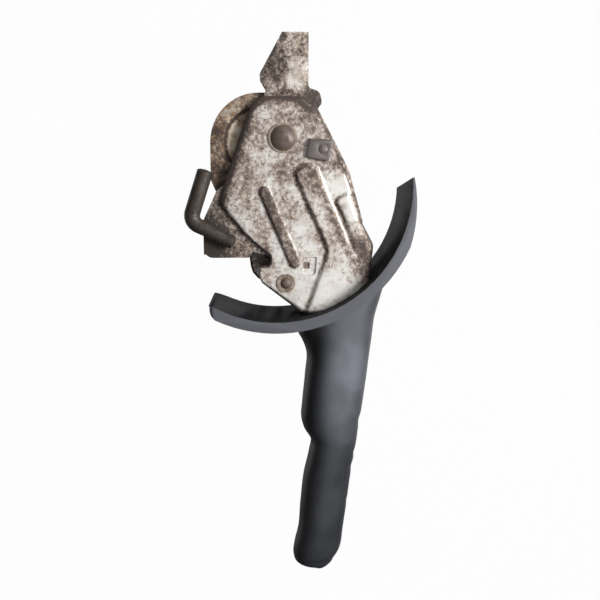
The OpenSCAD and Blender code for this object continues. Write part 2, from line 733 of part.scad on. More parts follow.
// What is cut off the foot's corner on one side, seen along X
module foot_corner(side, r) {
    low = shield_point(shield_angles[0], 0)[1];
    half = shield_w / 2;
    translate([shield_at[0] + 40, 0, 0])
        difference() {
            translate([0, side < 0 ? -half - 1 : half - r, low - 10])
                cube([80, r + 1, r + 10]);
            translate([-1, side * (half - r), low + r])
                rotate([0, 90, 0])
                    cylinder(r = r, h = 82);
        }
}

module slot_shield() {
    slot_half = field_out + sleeve_gap;
    placed() color(black)
        difference() {
            union() {
                shield_band(-shield_w / 2, shield_w / 2, shield_t);
                both_sides()
                    shield_band(shield_w / 2 - shield_rim_t, shield_w / 2, shield_rim);
            }
            translate([shield_at[0] + 40, -slot_half, shield_slot[0]])
                cube([60, 2 * slot_half, shield_slot[1] - shield_slot[0]]);
            foot_corner(-1, shield_foot_r[0]);
            foot_corner(1, shield_foot_r[1]);
            translate([shield_point(shield_angles[1], 0)[0], -shield_w / 2, shield_at[1]])
                rotate([0, 0, -shield_slant])
                    translate([-50, -20, 0])
                        cube([50, shield_w + 40, 2 * shield_r]);
        }
}

// Release
module release_rod() {
    placed() color(steel)
        along_grip(rod_start)
            cylinder(d = rod_d, h = collar_at + rod_bite - rod_start);
}

module release_button() {
    placed() color(black)
        difference() {
            union() {
                along_grip(collar_at)
                    cylinder(d = button_collar_d, h = collar_l);
                along_grip(collar_at)
                    cylinder(d = button_d, h = button_end - collar_at - 2);
                along_grip(button_end - 2)
                    cylinder(d1 = button_d, d2 = button_d - 3, h = 2);
            }
            along_grip(collar_at - 1)
                cylinder(d = rod_d + 2 * seat_gap, h = rod_bite + 1);
        }
}

module button_spring() {
    from = rear_guide_at + guide_l + 0.1;
    run = collar_at - run_gap - button_travel - from - spring_wire;
    steps = 10 * spring_turns;
    path = [for (i = [0 : steps])
        [spring_mean_d / 2 * cos(36 * i), spring_mean_d / 2 * sin(36 * i), run * i / steps]];
    placed() color(steel)
        along_grip(from + spring_wire / 2)
            wire(path, even(path, spring_wire), 6);
}

mounting_bracket();
ratchet_sector();
sector_rivets();
sector_spacers();
pivot_bushes();
cable_hook();
near_cheek();
far_cheek();
pivot_pin();
pivot_washers();
cable_quadrant();
pawl_pin();
pawl_washers();
pawl_spacers();
pawl_spring();
striker_plate();
striker_rivet();
grip_tube();
tube_rivets();
front_rod_guide();
rear_rod_guide();
button_ferrule();
grip_sleeve();
slot_shield();
pawl();
release_rod();
release_button();
button_spring();
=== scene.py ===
# A worn ratchet handbrake lever, dressed around its CAD frame. Sizes in the dictionaries are in mm,
# and places are measured from the lever's pivot axis.
import json
import math
import bpy
import bmesh
import numpy as np
from mathutils import Matrix, Vector
from mathutils.geometry import delaunay_2d_cdt


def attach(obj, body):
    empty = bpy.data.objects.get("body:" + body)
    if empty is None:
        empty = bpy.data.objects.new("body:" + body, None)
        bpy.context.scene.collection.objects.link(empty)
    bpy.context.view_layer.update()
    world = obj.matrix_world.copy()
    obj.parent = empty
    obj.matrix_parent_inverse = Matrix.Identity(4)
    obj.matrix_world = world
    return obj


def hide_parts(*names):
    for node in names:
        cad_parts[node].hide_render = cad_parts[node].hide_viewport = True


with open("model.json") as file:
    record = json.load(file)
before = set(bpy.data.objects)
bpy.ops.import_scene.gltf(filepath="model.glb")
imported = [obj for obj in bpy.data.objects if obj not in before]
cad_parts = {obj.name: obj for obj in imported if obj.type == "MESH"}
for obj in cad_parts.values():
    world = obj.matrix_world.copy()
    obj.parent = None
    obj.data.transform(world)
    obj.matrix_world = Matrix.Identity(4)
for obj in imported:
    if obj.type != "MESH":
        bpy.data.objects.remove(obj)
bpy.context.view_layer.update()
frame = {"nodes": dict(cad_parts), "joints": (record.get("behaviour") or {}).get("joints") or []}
cadNodes = frame["nodes"]
mm = 0.001
smallestRound = 0.3
sideShare = 0.49  # the most of a side that a corner's round takes
sharpFrom = 50  # degrees
bumpStrength = 0.6
pivot = np.array(next(j for j in frame["joints"] if j["name"] == "lever_swing")["pos_m"]) / mm


# small helpers
def tone(red, green, blue):
    # a colour as it looks on screen, 0 to 255, made linear
    def channel(value):
        value = value / 255
        return value / 12.92 if value <= 0.04045 else ((value + 0.055) / 1.055) ** 2.4
    return (channel(red), channel(green), channel(blue), 1.0)


def smooth(t):
    t = np.clip(t, 0, 1)
    return t * t * (3 - 2 * t)


def unit(v):
    return v / np.linalg.norm(v)


def roundedOutline(corners, steps):
    # corners are (x, z, radius)
    flat = np.array([c[:2] for c in corners], float)
    points = []
    for i in range(len(corners)):
        a, b, c = flat[i - 1], flat[i], flat[(i + 1) % len(flat)]
        u, v = unit(a - b), unit(c - b)
        half = math.acos(max(-1, min(1, float(u @ v)))) / 2
        longest = min(np.linalg.norm(a - b) * sideShare, np.linalg.norm(c - b) * sideShare)
        reach = min(corners[i][2] / math.tan(half), longest)
        radius = reach * math.tan(half)
        middle = b + unit(u + v) * radius / math.sin(half)
        first, last = b + u * reach - middle, b + v * reach - middle
        start = math.atan2(first[1], first[0])
        turn = (math.atan2(last[1], last[0]) - start + math.pi) % (2 * math.pi) - math.pi
        for k in range(steps + 1):
            angle = start + turn * k / steps
            points.append(middle + radius * np.array((math.cos(angle), math.sin(angle))))
    return np.array(points)


def insetCorners(corners, distances):
    # each corner moves inwards by its own distance
    flat = np.array([c[:2] for c in corners], float)
    following = np.roll(flat, -1, axis=0)
    area = np.sum(flat[:, 0] * following[:, 1] - following[:, 0] * flat[:, 1])
    side = 1 if area > 0 else -1
    moved = []
    for i in range(len(corners)):
        a, b, c = flat[i - 1], flat[i], flat[(i + 1) % len(flat)]
        u, v = unit(b - a), unit(c - b)
        n1, n2 = side * np.array((-u[1], u[0])), side * np.array((-v[1], v[0]))
        q = b + distances[i] * (n1 + n2) / (1 + n1 @ n2)
        turn = side * (u[0] * v[1] - u[1] * v[0])
        radius = corners[i][2] - math.copysign(distances[i], turn)
        moved.append((q[0], q[1], max(smallestRound, radius)))
    return moved


def sidesOf(line, closed=True):
    # pairs of neighbouring places
    return zip(line, np.roll(line, -1, axis=0) if closed else line[1:])


def resample(loop, spacing):
    out = []
    for a, b in sidesOf(loop):
        parts = max(1, int(round(np.linalg.norm(b - a) / spacing)))
        out += [a + (b - a) * k / parts for k in range(parts)]
    return np.array(out)


def distanceTo(points, line, closed=True):
    best = np.full(len(points), 1e9)
    for a, b in sidesOf(line, closed):
        ab = b - a
        t = np.clip(((points - a) @ ab) / max(ab @ ab, 1e-12), 0, 1)
        best = np.minimum(best, np.linalg.norm(points - a - t[:, None] * ab, axis=1))
    return best


def inside(points, loop):
    hit = np.zeros(len(points), bool)
    for a, b in sidesOf(loop):
        crosses = (a[1] > points[:, 1]) != (b[1] > points[:, 1])
        if abs(b[1] - a[1]) > 1e-12:
            hit ^= crosses & (points[:, 0] < (b[0] - a[0]) * (points[:, 1] - a[1]) / (b[1] - a[1]) + a[0])
    return hit


def depthIn(points, loop):
    # positive inside, negative outside
    return np.where(inside(points, loop), 1, -1) * distanceTo(points, loop)


def newObject(name, data):
    made = bpy.data.objects.new(name, data)
    bpy.context.scene.collection.objects.link(made)
    return made


def settle(piece, sharpAngle):
    # the modifiers' result becomes the piece's plain mesh
    bpy.context.view_layer.update()
    piece.data = bpy.data.meshes.new_from_object(piece.evaluated_get(bpy.context.evaluated_depsgraph_get()))
    piece.modifiers.clear()
    piece.data.shade_smooth()
    piece.data.set_sharp_from_angle(angle=math.radians(sharpAngle))


def newPiece(name, verts, faces):
    # verts are in mm from the pivot axis
    mesh = bpy.data.meshes.new(name)
    mesh.from_pydata([tuple(v) for v in (verts + pivot) * mm], [], faces)
    mesh.validate()
    piece = newObject(name, mesh)
    edit = bmesh.new()
    edit.from_mesh(mesh)
    bmesh.ops.recalc_face_normals(edit, faces=edit.faces)
    edit.to_mesh(mesh)
    edit.free()
    mesh.shade_smooth()
    mesh.set_sharp_from_angle(angle=math.radians(sharpFrom))
    return piece


def dress(piece, body, material, node):
    piece.data.materials.clear()
    piece.data.materials.append(material)
    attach(piece, body)
    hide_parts(node)


# camera, placed at the photograph's viewing angle
cameraSetup = {"focal": 42.48, "sensor": 36, "place": (19.83, -470.19, -8.33)}
cameraData = bpy.data.cameras.new("viewCamera")
cameraData.lens = cameraSetup["focal"]
cameraData.sensor_width = cameraSetup["sensor"]
camera = newObject("viewCamera", cameraData)
right, up, back = (0, -0.04164, 0.99913), (-0.98356, 0.18044, 0.00752), (-0.18060, -0.98270, -0.04096)
turned = Matrix((right, up, back)).transposed().to_4x4()
camera.matrix_world = Matrix.Translation(Vector(pivot + cameraSetup["place"]) * mm) @ turned
bpy.context.scene.camera = camera
print("camera placed")


# shared shader groups
def newGroup(name, vectors, floats, outputs):
    # a group whose outputs are all floats
    tree = bpy.data.node_groups.new(name, "ShaderNodeTree")
    for labels, side, kind in ((vectors, "INPUT", "Vector"), (floats, "INPUT", "Float"), (outputs, "OUTPUT", "Float")):
        for label in labels:
            tree.interface.new_socket(label, in_out=side, socket_type="NodeSocket" + kind)
    return tree, tree.nodes.new("NodeGroupInput"), tree.nodes.new("NodeGroupOutput")


def plug(tree, socket, value):
    if isinstance(value, bpy.types.NodeSocket):
        tree.links.new(value, socket)
    else:
        socket.default_value = value


def math2(tree, operation, a, b=0.5, c=0.5, clamp=False):
    node = tree.nodes.new("ShaderNodeMath")
    node.operation = operation
    node.use_clamp = clamp
    for socket, value in zip(node.inputs, (a, b, c)):
        plug(tree, socket, value)
    return node.outputs[0]


def mixTone(tree, factor, a, b):
    node = tree.nodes.new("ShaderNodeMix")
    node.data_type = "RGBA"
    plug(tree, node.inputs[0], factor)
    plug(tree, node.inputs[6], a)
    plug(tree, node.inputs[7], b)
    return node.outputs[2]


def noiseOf(tree, vector, scale, settings):
    # settings are the share of the scale, the detail and the roughness
    node = tree.nodes.new("ShaderNodeTexNoise")
    tree.links.new(vector, node.inputs["Vector"])
    tree.links.new(math2(tree, "MULTIPLY", scale, settings[0]), node.inputs["Scale"])
    node.inputs["Detail"].default_value = settings[1]
    node.inputs["Roughness"].default_value = settings[2]
    return node.outputs["Fac"]


def spread(tree, value, low, high, outLow=0.0, outHigh=1.0):
    node = tree.nodes.new("ShaderNodeMapRange")
    node.interpolation_type = "SMOOTHSTEP"
    for socket, given in zip(node.inputs, (value, low, high, outLow, outHigh)):
        plug(tree, socket, given)
    return node.outputs[0]


# a noise is its share of the given scale, its detail and its roughness. A pair is the noise values between
# which a mask rises. The weighed noises and the stain, which also carries painted shade and light, add up to the level
# of rust, less "without"
rustNoise = {
    "fleck": (1, 5.0, 0.78), "patch": (1, 4.0, 0.62), "warmth": (2.3, 4.0, 0.6), "fine": (2.2, 2.0, 0.5),
    "fleckWeight": 1.3, "patchWeight": 0.7, "stainWeight": 0.36, "without": 1.5, "rustMask": (-0.2, 0.16),
    "deepMask": (0.0, 0.34), "speckMask": (0.63, 0.72), "warmMask": (0.4, 0.65), "heightShare": 0.5,
}
# a speck shows where the noise makes its cell's dot larger than speckFrom
grainNoise = {
    "fine": (1.7, 3.0, 0.5), "rub": (1, 3.0, 0.5), "dust": (0.35, 6.0, 0.7), "speck": (0.1, 4.0, 0.55),
    "rubMask": (0.35, 0.7), "dustMask": (0.58, 0.72), "speckCells": 0.16, "speckSize": 0.16, "speckFrom": 0.03,
    "skinShare": 0.6, "fineShare": 0.6,
}


def feed(tree, node, results):
    # each result goes to the node's input of that name
    for label, result in results.items():
        tree.links.new(result, node.inputs[label])
    return tree


def makeRustGroup():
    # flecks of rust that gather in patches and on stained edges
    tree, given, out = newGroup("rustFlecks", ["Vector"], ["Fleck Size", "Patch Size", "Amount", "Stain"],
                                ["Rust", "Deep", "Specks", "Patch", "Warmth", "Height"])
    fleckScale = math2(tree, "DIVIDE", 1 / mm, given.outputs["Fleck Size"])
    patchScale = math2(tree, "DIVIDE", 1 / mm, given.outputs["Patch Size"])

    def noise(key, scale):
        return noiseOf(tree, given.outputs["Vector"], scale, rustNoise[key])

    def weighed(value, key):
        return math2(tree, "MULTIPLY", value, rustNoise[key])

    fleck, patch, warmth = noise("fleck", fleckScale), noise("patch", patchScale), noise("warmth", patchScale)
    level = math2(tree, "ADD", weighed(fleck, "fleckWeight"), weighed(patch, "patchWeight"))
    level = math2(tree, "ADD", level, weighed(given.outputs["Stain"], "stainWeight"))
    level = math2(tree, "ADD", level, math2(tree, "SUBTRACT", given.outputs["Amount"], rustNoise["without"]))
    results = {
        "Rust": spread(tree, level, *rustNoise["rustMask"]), "Deep": spread(tree, level, *rustNoise["deepMask"]),
        "Specks": spread(tree, noise("fine", fleckScale), *rustNoise["speckMask"]), "Patch": patch,
        "Warmth": spread(tree, warmth, *rustNoise["warmMask"]),
        "Height": math2(tree, "ADD", fleck, weighed(level, "heightShare")),
    }
    return feed(tree, out, results)


def makeDiscGroup():
    # 1 inside a disc seen from the side, fading over its soft edge
    tree, given, out = newGroup("discMask", ["Vector", "Centre"], ["Radius", "Soft"], ["Mask"])

    def vectors(operation, a, b=(0, 0, 0)):
        node = tree.nodes.new("ShaderNodeVectorMath")
        node.operation = operation
        plug(tree, node.inputs[0], a)
        plug(tree, node.inputs[1], b)
        return node.outputs["Value" if operation == "LENGTH" else "Vector"]

    away = vectors("SUBTRACT", given.outputs["Vector"], given.outputs["Centre"])
    reach = vectors("LENGTH", vectors("MULTIPLY", away, (1, 0, 1)))
    near = math2(tree, "SUBTRACT", given.outputs["Radius"], given.outputs["Soft"])
    far = math2(tree, "ADD", given.outputs["Radius"], given.outputs["Soft"])
    return feed(tree, out, {"Mask": spread(tree, reach, near, far, 1.0, 0.0)})


def makeGrainGroup():
    # the fine skin of moulded plastic, with rubbed and dusty places
    tree, given, out = newGroup("mouldedGrain", ["Vector"], ["Grain Size", "Rub Size"],
                                ["Rub", "Dust", "Specks", "Height"])
    grainScale = math2(tree, "DIVIDE", 1 / mm, given.outputs["Grain Size"])
    rubScale = math2(tree, "DIVIDE", 1 / mm, given.outputs["Rub Size"])

    def noise(key, scale):
        return noiseOf(tree, given.outputs["Vector"], scale, grainNoise[key])

    def cells(scale):
        # distance from the middle of the nearest cell
        node = tree.nodes.new("ShaderNodeTexVoronoi")
        tree.links.new(given.outputs["Vector"], node.inputs["Vector"])
        tree.links.new(scale, node.inputs["Scale"])
        return node.outputs["Distance"]

    dot = math2(tree, "MULTIPLY", noise("speck", grainScale), grainNoise["speckSize"])
    dot = math2(tree, "SUBTRACT", dot, grainNoise["speckFrom"])
    speckCells = cells(math2(tree, "MULTIPLY", grainScale, grainNoise["speckCells"]))
    skin = math2(tree, "MULTIPLY", cells(grainScale), grainNoise["skinShare"])
    fine = math2(tree, "MULTIPLY", noise("fine", grainScale), grainNoise["fineShare"])
    results = {
        "Rub": spread(tree, noise("rub", rubScale), *grainNoise["rubMask"]),
        "Dust": spread(tree, noise("dust", grainScale), *grainNoise["dustMask"]),
        "Specks": math2(tree, "LESS_THAN", speckCells, dot), "Height": math2(tree, "ADD", skin, fine),
    }
    return feed(tree, out, results)


rustGroup = makeRustGroup()
discGroup = makeDiscGroup()
grainGroup = makeGrainGroup()


def newMaterial(name):
    material = bpy.data.materials.new(name)
    material.use_nodes = True
    tree = material.node_tree
    shader = tree.nodes["Principled BSDF"]
    place = tree.nodes.new("ShaderNodeTexCoord")
    return material, tree, shader, place.outputs["Object"]


def placeGroup(tree, group, vector, **values):
    node = tree.nodes.new("ShaderNodeGroup")
    node.node_tree = group
    tree.links.new(vector, node.inputs["Vector"])
    for label, value in values.items():
        plug(tree, node.inputs[label.replace("_", " ")], value)
    return node


def addBump(tree, shader, height, distance):
    bump = tree.nodes.new("ShaderNodeBump")
    bump.inputs["Strength"].default_value = bumpStrength
    bump.inputs["Distance"].default_value = distance * mm
    tree.links.new(height, bump.inputs["Height"])
    tree.links.new(bump.outputs["Normal"], shader.inputs["Normal"])


def rustyMetal(name, look, stainFrom=None, discs=()):
    # discs are (x, z, radius, soft edge, and what is added inside to the stain, which also carries painted shade and
    # light)
    material, tree, shader, vector = newMaterial(name)
    stainAndPaintedLight = 0.0
    if stainFrom:
        attribute = tree.nodes.new("ShaderNodeAttribute")
        attribute.attribute_name = stainFrom
        stainAndPaintedLight = attribute.outputs["Fac"]
    for x, z, radius, soft, amount in discs:
        centre = tuple(np.array((x + pivot[0], 0, z + pivot[2])) * mm)
        disc = placeGroup(tree, discGroup, vector, Centre=centre, Radius=radius * mm, Soft=soft * mm)
        stainAndPaintedLight = math2(tree, "ADD", stainAndPaintedLight, math2(tree, "MULTIPLY", disc.outputs["Mask"], amount))
    rust = placeGroup(tree, rustGroup, vector, Fleck_Size=look["fleck"], Patch_Size=look["patch"],
                      Amount=look["amount"], Stain=stainAndPaintedLight)
    clean = mixTone(tree, spread(tree, rust.outputs["Patch"], *look["dulling"]), look["clean"], look["dull"])
    brown = mixTone(tree, rust.outputs["Warmth"], look["rust"], look["rustWarm"])
    colour = mixTone(tree, rust.outputs["Rust"], clean, brown)
    colour = mixTone(tree, math2(tree, "MULTIPLY", rust.outputs["Specks"], look["specks"]), colour, look["rust"])
    colour = mixTone(tree, rust.outputs["Deep"], colour, look["rustDark"])
    rough = spread(tree, rust.outputs["Rust"], 0.0, 1.0, look["cleanRough"], look["rustRough"])
    metal = spread(tree, rust.outputs["Rust"], 0.0, 1.0, look["cleanMetal"], look["rustMetal"])
    feed(tree, shader, {"Base Color": colour, "Roughness": rough, "Metallic": metal})
    addBump(tree, shader, rust.outputs["Height"], look["bump"])
    return material


def mouldedPlastic(name, look):
    # painted highlight, with some wear: pale in the painted band about a line, scaled by the painted sheen along X, and
    # a little more where the rubbing noise is high
    material, tree, shader, vector = newMaterial(name)
    grain = placeGroup(tree, grainGroup, vector, Grain_Size=look["grain"], Rub_Size=look["rub"])
    place = tree.nodes.new("ShaderNodeSeparateXYZ")
    tree.links.new(vector, place.inputs[0])
    dark, pale = ((x + pivot[0]) * mm for x in look["sheen"])
    along = tree.nodes.new("ShaderNodeMapRange")
    for socket, value in zip(along.inputs, (place.outputs["X"], dark, pale, look["sheenDark"], 1.0)):
        plug(tree, socket, value)
    flankX, flankZ, flankFall, near, far = look["flank"]
    middle = math2(tree, "MULTIPLY_ADD", place.outputs["X"], -flankFall,
                   (flankZ + pivot[2] + flankFall * (flankX + pivot[0])) * mm)
    offMiddle = math2(tree, "ABSOLUTE", math2(tree, "SUBTRACT", place.outputs["Z"], middle))
    flank = spread(tree, offMiddle, near * mm, far * mm, 1.0, 0.0)
    # worn carries the painted highlight band and painted sheen as well as the rubbing wear
    worn = math2(tree, "MULTIPLY_ADD", grain.outputs["Rub"], *look["rubShare"])
    worn = math2(tree, "MULTIPLY", math2(tree, "MULTIPLY", worn, along.outputs[0]), flank, clamp=True)
    colour = mixTone(tree, worn, look["base"], look["rubAndHighlightTone"])
    colour = mixTone(tree, math2(tree, "MULTIPLY", grain.outputs["Dust"], look["dust"]), colour, look["dustTone"])
    colour = mixTone(tree, math2(tree, "MULTIPLY", grain.outputs["Specks"], look["specks"]), colour, look["dustTone"])
    # painted highlight: the shield's near and far rims are made paler
    rim = spread(tree, math2(tree, "ABSOLUTE", place.outputs["Y"]), *(y * mm for y in look["rimHighlightFade"]))
    colour = mixTone(tree, rim, colour, look["rim"])
    rough = spread(tree, grain.outputs["Rub"], 0.0, 1.0, look["rough"], look["rubRough"])
    feed(tree, shader, {"Base Color": colour, "Roughness": rough})
    shader.inputs["Specular IOR Level"].default_value = look["gloss"]
    addBump(tree, shader, grain.outputs["Height"], look["bump"])
    return material


# metals: fleck and patch are the sizes of the rust's noise, amount the share of rust, dulling the noise
# values between which clean plating turns dull
platedLook = {
    "clean": tone(206, 203, 199), "dull": tone(192, 187, 181), "rust": tone(140, 126, 118),
    "rustWarm": tone(146, 129, 114), "rustDark": tone(68, 57, 52), "fleck": 2.1, "patch": 13.0, "amount": 0.51,
    "specks": 0.75, "dulling": (0.35, 0.65), "cleanRough": 0.42, "rustRough": 0.8, "cleanMetal": 0.25,
    "rustMetal": 0.05, "bump": 0.14,
}
bracketLook = dict(platedLook, amount=0.66, patch=9.0, clean=tone(210, 205, 199), dull=tone(176, 167, 158),
                   rustDark=tone(54, 46, 41))
quadrantLook = dict(platedLook, amount=0.63, patch=7.0, clean=tone(190, 178, 163), dull=tone(150, 131, 108),
                    rust=tone(100, 84, 75), rustWarm=tone(132, 101, 66), rustDark=tone(58, 46, 41))
rustyLook = dict(platedLook, clean=tone(122, 112, 105), dull=tone(108, 97, 91), rust=tone(92, 80, 74),
                 rustWarm=tone(98, 79, 67), rustDark=tone(58, 49, 45), fleck=1.8, patch=7.0, amount=0.48,
                 specks=0.5, cleanRough=0.45, rustRough=0.72, cleanMetal=0.3, bump=0.12)
headLook = dict(rustyLook, clean=tone(100, 88, 82), dull=tone(90, 79, 73), rust=tone(76, 65, 60),
                rustDark=tone(62, 52, 48))
washerLook = dict(rustyLook, clean=tone(162, 149, 135), dull=tone(140, 126, 110), rust=tone(110, 95, 83))
strikerLook = dict(rustyLook, clean=tone(97, 90, 87), dull=tone(90, 82, 79), rust=tone(77, 69, 67), amount=0.40)
hookLook = dict(rustyLook, clean=tone(78, 70, 63), dull=tone(58, 51, 45), rust=tone(45, 38, 33),
                rustWarm=tone(52, 42, 34), rustDark=tone(24, 20, 17), amount=0.52, cleanMetal=0.45)
toolSteelLook = dict(rustyLook, clean=tone(120, 116, 112), dull=tone(96, 92, 88), amount=0.35)
bronzeLook = dict(rustyLook, clean=tone(150, 118, 72), dull=tone(120, 92, 58), rustWarm=tone(90, 66, 44), amount=0.3)

# plastics: a painted sheen runs along X from the darker place to the paler one. A painted highlight lies in a band
# about a line: x and z of one place on it, its fall along X, and how far from it the highlight starts and stops to
# fade.
# rubShare is what the wear noise adds to the painted highlight, and what is there without it. The rim's tone, a
# painted highlight on the edges, fades in between two distances from the middle plane, which only the shield reaches
gripLook = {
    "base": tone(11, 12, 14), "rubAndHighlightTone": tone(103, 105, 114), "dustTone": tone(128, 127, 126), "dust": 0.05,
    "specks": 0.6, "grain": 0.7, "rub": 26.0, "rubShare": (0.35, 0.6), "rough": 0.40, "rubRough": 0.46,
    "gloss": 0.6, "bump": 0.05, "sheen": (215, 165), "sheenDark": 0.24, "flank": (150, 42, 0.11, 3, 23),
    "rim": tone(100, 101, 106), "rimHighlightFade": (98.5, 99.3),
}
shieldLook = dict(gripLook, base=tone(12, 13, 15), rubAndHighlightTone=tone(28, 29, 32), dust=0.1, rough=0.68, rubRough=0.6,
                  gloss=0.22, rub=24.0, sheen=(60, 130), sheenDark=0.35, flank=(100, 10, 0, 60, 80),
                  rim=tone(84, 85, 90), rimHighlightFade=(27.7, 28.5))
buttonLook = dict(gripLook, base=tone(18, 18, 20), rubAndHighlightTone=tone(34, 34, 36), dust=0.12)

# rust spots, painted shade and, with a negative amount, clean places and painted light: x, z, radius, soft edge, amount
bracketSpots = [(-42, 12, 9, 7, -0.6), (-60, 12, 9, 5, -0.2), (-36, 8, 6, 5, -0.35), (-30, 20, 10, 6, 0.2),
                # (66, -53) is painted shade on the lug under the hook, together with rust
                (-50, -2, 12, 8, 0.15), (66, -53, 16, 6, 0.9), (40, -40, 8, 6, 0.25), (-22, 25, 8, 5, 0.2)]
# the first two: a painted shade ring in the lobe's groove and, inside it, painted light that offsets the shadow cast by
# the cheek
quadrantSpots = [(2.9, -14.9, 22.8, 0.6, 0.7), (2.9, -14.9, 20.8, 1.0, -1.5), (-18, -36, 9, 5, -0.3),
                 (-24, -22, 6, 4, -0.25), (-26, -4, 7, 5, 0.25), (24, -44, 9, 5, 0.3)]
materials = {
    "sheet": rustyMetal("speckledPlating", platedLook, "stainAndPaintedLight"),
    "bracket": rustyMetal("bracketPlating", bracketLook, None, bracketSpots),
    "quadrant": rustyMetal("quadrantRust", quadrantLook, None, quadrantSpots),
    "rivet": rustyMetal("rivetRust", rustyLook),
    "head": rustyMetal("headRust", headLook),
    "washer": rustyMetal("washerRust", washerLook),
    "striker": rustyMetal("strikerSteel", strikerLook),
    "hook": rustyMetal("hookSteel", hookLook),
    "toolSteel": rustyMetal("hardenedSteel", toolSteelLook),
    "bronze": rustyMetal("bushBronze", bronzeLook),
    "grip": mouldedPlastic("gripSkin", gripLook),
    "shield": mouldedPlastic("shieldSkin", shieldLook),
    "button": mouldedPlastic("buttonSkin", buttonLook),
}
print("materials made")


# the two pressed cheeks. Corners are x, z, radius, and for the rim how far inside it the panel's edge lies
cheek = {
    "rimTop": [(-25.6, 13, 9, 3), (-18.8, 21.5, 4, 1.5), (19.8, 39.5, 40, 1.3), (53, 51, 20, 1.3), (68, 58.9, 8, 1.3),
               (88, 56.8, 20, 1.3), (112, 52.6, 6, 1.3), (149.6, 49.6, 3, 3), (149.6, 21.2, 3, 3), (115.8, 20.6, 3, 3),
               (112.2, 11, 3, 3)],
    "nearLow": [(92.6, -14.2, 3, 1.2), (87.4, -16.4, 1.5, 1.2), (81.6, -16, 1.5, 1), (80.6, -8.6, 2, 1),
                (75, -8.2, 2.5, 1), (68.4, -17.2, 5, 1.4)],
    "farLow": [(97.2, -9.6, 8, 1.2), (92.4, -17.2, 4, 1.2), (88.6, -20.6, 4, 1.2), (84.2, -21.9, 4, 1.2),
               (80, -22.4, 4, 1), (74, -23.3, 5, 1), (68.5, -24, 5, 1.4)],
    "rimLow": [(59.6, -26.2, 6, 1.8), (41.4, -41.6, 6.5, 3.6), (26, -36.9, 15, 5), (-26, -18.4, 14, 4.6)],
    "field": [(21.6, 6.6, 4), (14.2, 14.5, 4.5), (18.6, 21.8, 4), (33.6, 27.6, 20), (61.5, 39.6, 20), (77.5, 46.6, 0.6),
              (61, 42.6, 10), (46, 36.6, 8), (38.6, 32.4, 3.5), (33.4, 41.8, 1.5), (53.4, 49.2, 15), (68, 56.2, 7),
              (87.5, 54.3, 20), (99.5, 51.6, 8), (112, 49.4, 2), (112.4, 14, 2), (78.4, 26.2, 4), (71, 28, 5)],
    # the sight's seat, pressed down round its hole
    "seat": [(76.4, 12.7, 1.2), (75.6, 21.6, 1.2), (87.4, 20.6, 3), (87.4, 12.6, 3)],
    "window": [(79, 12.9, 0.5), (79, 17.1, 0.5), (83.2, 17.1, 0.5), (83.2, 12.9, 0.5)],
    "rib": ((33.4, -12.1), (79.4, 7.4)),
    # distances of the sheet's faces from the middle plane, and what rises above them
    "inner": 10.0, "rimOut": 11.6, "panelOut": 13.5, "sheet": 1.6, "fieldRise": 2.3, "ribRise": 2.15,
    "ribCrown": 0.18, "seatDepth": 1.2, "edgeRound": 0.8,
    # how wide the pressed steps are. A pair says where a step starts outside its line, and its width
    "ribHalf": 4.0, "ribFlank": 1.7, "fieldFlank": (1.2, 3.4), "seatFlank": (0.2, 0.4), "edgeReach": 1.1,
    # the panel and field run out towards the tube: x of the end, and over what length
    "tailFade": (115.5, 5),
    # painted shade and rust on the shoulder, in bands: amount, middle, width. Then rust on the rib: amount, reach, and
    # the share left on its lit side, where less rust is a painted highlight. Then rust and painted shade on the rim:
    # amount, width
    "shoulderLine": [(-17, 17), (-22, 11), (-24.7, 2.3), (-25.6, -7), (-22.9, -14), (-17.3, -19.8), (-9.4, -23.5),
                     (-0.2, -26.5), (11, -30.2), (26, -34.6), (40.4, -38.6)],
    "shoulderStain": [(0.95, 0.6, 1.1), (0.4, 3, 2.8)], "ribStain": (0.75, 4.0, 0.5), "ribHighlightFrom": 3.0,
    "rimStain": (0.85, 2.2),
    # rust along lines, painted shade along the field's and the pad's left flanks (the first, second and last lines),
    # and a clean line where the amount is negative, a painted highlight on the field's lit edge: places, width, amount
    "rustShadeAndHighlightLines": [
        ([(17.6, 17.1), (17, 13.6), (18.7, 9.6), (22.1, 7.8), (30.1, 9.6), (43.9, 16.3), (57.9, 23), (67.3, 27),
          (72.1, 28), (76.8, 27)], 1.5, 0.7),
        ([(76.8, 27), (92.3, 21), (108, 15), (113.5, 13.1)], 1.2, 0.5),
        ([(22, 20.5), (34, 25.4), (61.5, 37), (78, 44)], 2.4, 0.45),
        ([(20, 23), (33.6, 28.6), (47.4, 34.2), (61.5, 40.8), (75, 46.6)], 0.8, -0.7),
        ([(53.3, 40.5), (45.1, 36.4), (40.5, 33.4), (37.2, 35.8), (35.3, 39.3), (34.7, 42.2), (37, 46.3)], 0.8, 0.8),
    ],
    # rust stains, and bright places where the amount is negative: x, z, radius, amount
    "spots": [(66, 51, 6, 0.6), (73, 52, 7, 0.65), (82, 53, 6, 0.55), (14, 35, 6, 0.6), (72, -13, 6, 0.6),
              (21, 15, 7, 0.3), (-16, 6, 9, 0.25), (-10, 18, 8, 0.3), (20, 0, 9, 0.12), (34, 20, 8, 0.2),
              (27, 36, 6, -0.7), (45, 45, 7, -0.6), (97, 10, 12, -0.6), (90, 32, 14, -0.45), (33, 40, 5, -0.8),
              (55, 15, 10, -0.35), (0, -16, 8, 0.15), (70, -2, 9, -0.4), (74, 20, 8, -0.4), (104, 30, 12, -0.3)],
}
